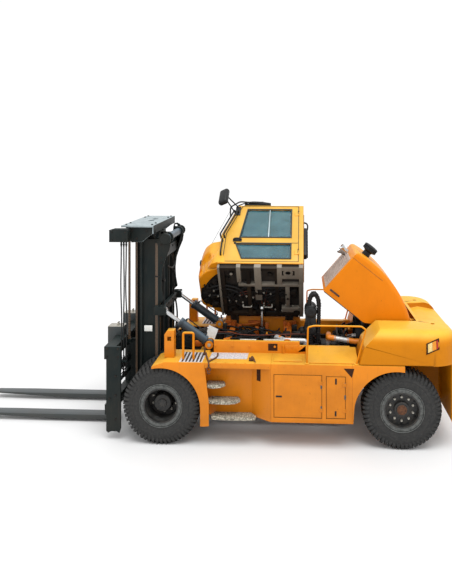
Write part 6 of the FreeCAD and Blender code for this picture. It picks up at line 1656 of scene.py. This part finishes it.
    # tread plate: raised bars on aluminium sheet
    def tread():
        block(bm, -1.23, -0.68, 0.8, 1.07, DECK_Z - 0.001, DECK_Z + 0.005, 0.001)
        for turn, shift in ((45, 0.0), (-45, 0.035)):
            def bars():
                for i in range(7):
                    place = Vector((-0.705 - shift, 0.825 + i * 0.037, DECK_Z + 0.0055))
                    spin = Matrix.Translation(place) @ Matrix.Rotation(math.radians(turn), 4, "Z")
                    block(bm, -0.013, 0.013, -0.003, 0.003, -0.001, 0.0025, 0.0, spin)
            row_of(bm, 7, (-0.074, 0, 0), bars)
    both(bm, tread)
    piece("tread_plates", bm, "zinc tread", "chassis")
    # pale plates let into the fender decks, with strips of black grit across them
    both(bm, lambda: block(bm, -0.6, -0.265, 0.8, 1.245, DECK_Z - 0.001, DECK_Z + 0.004, 0.001))
    piece("deck_gratings", bm, "zinc tread", "chassis")

    def grit():
        for i in range(6):
            x = -0.288 - i * 0.052
            plate(bm, [(x, 0.81, DECK_Z + 0.0038), (x - 0.026, 0.81, DECK_Z + 0.0038),
                (x - 0.036, 1.236, DECK_Z + 0.0038), (x - 0.01, 1.236, DECK_Z + 0.0038)], (0, 0, 0.0025))
    both(bm, grit)
    piece("grit_strips", bm, "grit strip", "chassis")

    # chains from the deck to a ring and hook on its edge, their post, and the small tie lug
    def chains():
        for x in (-0.6, -0.775):
            tube(bm, [(x, 0.86, DECK_Z + 0.012), (x - 0.03, 1.02, DECK_Z + 0.01),
                (-0.69, 1.22, DECK_Z + 0.01), (-0.7, BODY_HALF + 0.008, DECK_Z - 0.01),
                (-0.7, BODY_HALF + 0.01, 1.15)], 0.012)
        bar(bm, (-0.59, 0.93, DECK_Z), (-0.59, 0.93, 1.33), 0.013, 10)
        lathe(bm, band(0.022, 0.034, -0.006, 0.006), (-0.7, BODY_HALF + 0.008, 1.115), LEFT, 20,
            closed=True)
        tube(bm, [(-0.69, BODY_HALF + 0.008, 1.1), (-0.676, BODY_HALF + 0.008, 1.07),
            (-0.7, BODY_HALF + 0.01, 1.048), (-0.722, BODY_HALF + 0.008, 1.066)], 0.008)
        block(bm, -1.335, -1.265, 1.145, 1.16, DECK_Z - 0.001, DECK_Z + 0.055, 0.005)
        tube(bm, [(-1.28, 1.14, DECK_Z), (-1.3, 1.1, DECK_Z + 0.07), (-1.34, 1.16, DECK_Z + 0.04),
            (-1.36, 1.2, DECK_Z)], 0.009)
    both(bm, chains)
    piece("deck_chains", bm, "rusted iron", "chassis")


class FORKLIFT_OT_body(bpy.types.Operator):
    """Fenders, boxes, beams, doors, seams, latches, slots, covers, rails and lamp posts"""
    bl_idname = "forklift.body"
    bl_label = "Body panels"

    def execute(self, context):
        build_body(context.scene)
        return {"FINISHED"}


def build_steps():
    rear, well = -1.3, 1.05
    bm = bmesh.new()

    def treads():
        for z, x0, x1 in ((0.88, -0.6, -0.925), (0.655, -0.65, -1.14), (0.43, -0.712, -1.37)):
            outline = [(x0 - 0.05, well), (x0, well + 0.09), (x0 - 0.022, well + 0.168),
                (x0 - 0.12, 1.24), (x1 + 0.16, 1.246), (x1 + 0.06, 1.21), (x1, well + 0.088),
                (x1 + 0.04, well)]
            if x1 < rear:
                outline[-2:] = [(x1, well + 0.12), (rear + 0.012, well)]
                outline[-3] = (x1 + 0.02, 1.22)
            if x0 > -0.64:
                outline[:3] = [(-0.654, well), (-0.654, well + 0.09), (x0 - 0.06, well + 0.168)]
            outline = [(x, max(y, well + 0.0005)) for x, y in outline]
            plate(bm, [(x, y, z - 0.046) for x, y in outline], (0, 0, 0.044), 0.004)
            low_x, high_x = min(x for x, y in outline), max(x for x, y in outline)
            rows = int((high_x - low_x) / 0.026)
            for i in range(1, rows):
                x = low_x + (high_x - low_x) * i / rows
                cuts = []
                for (ax, ay), (bx, by) in zip(outline, outline[1:] + outline[:1]):
                    if (ax - x) * (bx - x) < 0:
                        cuts.append(ay + (by - ay) * (x - ax) / (bx - ax))
                if len(cuts) >= 2 and max(cuts) - min(cuts) > 0.03:
                    block(bm, x - 0.005, x + 0.005, min(cuts) + 0.006, max(cuts) + 0.0005, z - 0.03,
                        z + 0.002)
    both(bm, treads)
    piece("step_gratings", bm, "zinc grating", "chassis", ["steps"])


class FORKLIFT_OT_steps(bpy.types.Operator):
    """Grating treads with serrated bars in bent frames"""
    bl_idname = "forklift.steps"
    bl_label = "Steps"

    def execute(self, context):
        build_steps()
        return {"FINISHED"}


def build_counterweight(scene):
    softened("counterweight", scene.forklift_sizes.cast_edge, "cast weight enamel", "chassis",
        3, 0.12)
    corners = [Vector(p) for p in ((-3.763, 1.262, 1.377), (-3.945, 1.247, 1.453), (-3.945, 1.213, 1.6),
        (-3.763, 1.254, 1.53))]
    middle = sum(corners, Vector()) / 4
    bm = bmesh.new()
    # dark plate round the lamp clusters: painted shade for the recess the lamps sit in
    both(bm, lambda: plate(bm, corners, (0, 0.01, 0.003)))
    piece("lamp_recess_shade", bm, "gap paint and recess shade", "chassis")
    for name, a, b, finish in (("red", 0.84, 1.0, "red lens"), ("amber", 0.46, 0.82, "amber lens"),
            ("clear", 0.0, 0.44, "clear lens")):

        def lens():
            inner = [middle + (c - middle) * 0.78 + Vector((0, 0.006, 0.002)) for c in corners]
            plate(bm, [inner[0].lerp(inner[1], a), inner[0].lerp(inner[1], b), inner[3].lerp(inner[2], b),
                inner[3].lerp(inner[2], a)], (0, 0.012, 0.004))
        both(bm, lens)
        piece("tail_lenses_" + name, bm, finish, "chassis")
    bar(bm, (-4.21, 0, 0.5), (-4.21, 0, 0.8), 0.0245, 20)
    bar(bm, (-4.21, 0, 0.79), (-4.21, 0, 0.806), 0.045, 20)
    bent(bm, [(-4.21, -0.045, 0.803), (-4.21, -0.045, 0.87), (-4.21, 0.045, 0.87), (-4.21, 0.045, 0.803)],
        0.008, 0.03)
    piece("tow_pin", bm, "galvanised steel", "chassis")
    block(bm, -4.2725, -4.2685, -0.2, 0.2, 0.95, 1.1, 0.002)
    piece("weight_blank_plate", bm, "white enamel plate", "chassis")
    block(bm, -4.2712, -4.2695, -0.78, 0.78, 1.2105, 1.2145)
    for y in (-0.6, 0.6):
        for z in (0.55, 1.12):
            lathe(bm, [(0.0, 0.0), (0.034, 0.0), (0.04, 0.004), (0.04, 0.02)], (-4.2715, y, z), AHEAD, 24)
    piece("weight_seams", bm, "seal rubber", "chassis")


class FORKLIFT_OT_counterweight(bpy.types.Operator):
    """Cast rear weight with lamp clusters, tow pin, ring seams and a blank plate"""
    bl_idname = "forklift.counterweight"
    bl_label = "Counterweight"

    def execute(self, context):
        build_counterweight(context.scene)
        return {"FINISHED"}


class FORKLIFT_OT_materials(bpy.types.Operator):
    """Every finish on the machine"""
    bl_idname = "forklift.materials"
    bl_label = "Materials"

    def execute(self, context):
        make_materials(context.scene.forklift_colours)
        return {"FINISHED"}


class FORKLIFT_OT_stage(bpy.types.Operator):
    """Pale floor, soft studio light and camera"""
    bl_idname = "forklift.stage"
    bl_label = "Stage"

    def execute(self, context):
        make_stage()
        return {"FINISHED"}


class FORKLIFT_PT_panel(bpy.types.Panel):
    """Sizes, colours and the operators that build the looks"""
    bl_idname = "FORKLIFT_PT_panel"
    bl_label = "Diesel Forklift"
    bl_space_type = "VIEW_3D"
    bl_region_type = "UI"
    bl_category = "Forklift"

    def draw(self, context):
        layout = self.layout
        for group in (context.scene.forklift_sizes, context.scene.forklift_colours):
            column = layout.column()
            for name in group.__annotations__:
                column.prop(group, name)
        for operator in OPERATORS:
            layout.operator(operator.bl_idname)


OPERATORS = (FORKLIFT_OT_materials, FORKLIFT_OT_tyres, FORKLIFT_OT_wheels, FORKLIFT_OT_chains,
    FORKLIFT_OT_mast_hoses, FORKLIFT_OT_mast, FORKLIFT_OT_carriage, FORKLIFT_OT_cylinders,
    FORKLIFT_OT_cab, FORKLIFT_OT_cowl, FORKLIFT_OT_cab_inside, FORKLIFT_OT_cab_underside,
    FORKLIFT_OT_hood, FORKLIFT_OT_engine, FORKLIFT_OT_body, FORKLIFT_OT_steps, FORKLIFT_OT_counterweight,
    FORKLIFT_OT_stage)
CLASSES = (ForkliftSizes, ForkliftColours, *OPERATORS, FORKLIFT_PT_panel)


def register():
    for item in CLASSES:
        bpy.utils.register_class(item)
    bpy.types.Scene.forklift_sizes = bpy.props.PointerProperty(type=ForkliftSizes)
    bpy.types.Scene.forklift_colours = bpy.props.PointerProperty(type=ForkliftColours)


def unregister():
    del bpy.types.Scene.forklift_colours
    del bpy.types.Scene.forklift_sizes
    for item in reversed(CLASSES):
        bpy.utils.unregister_class(item)


def main():
    """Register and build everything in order."""
    register()
    for operator in OPERATORS:
        group, name = operator.bl_idname.split(".")
        getattr(getattr(bpy.ops, group), name)()


if __name__ == "__main__":
    main()
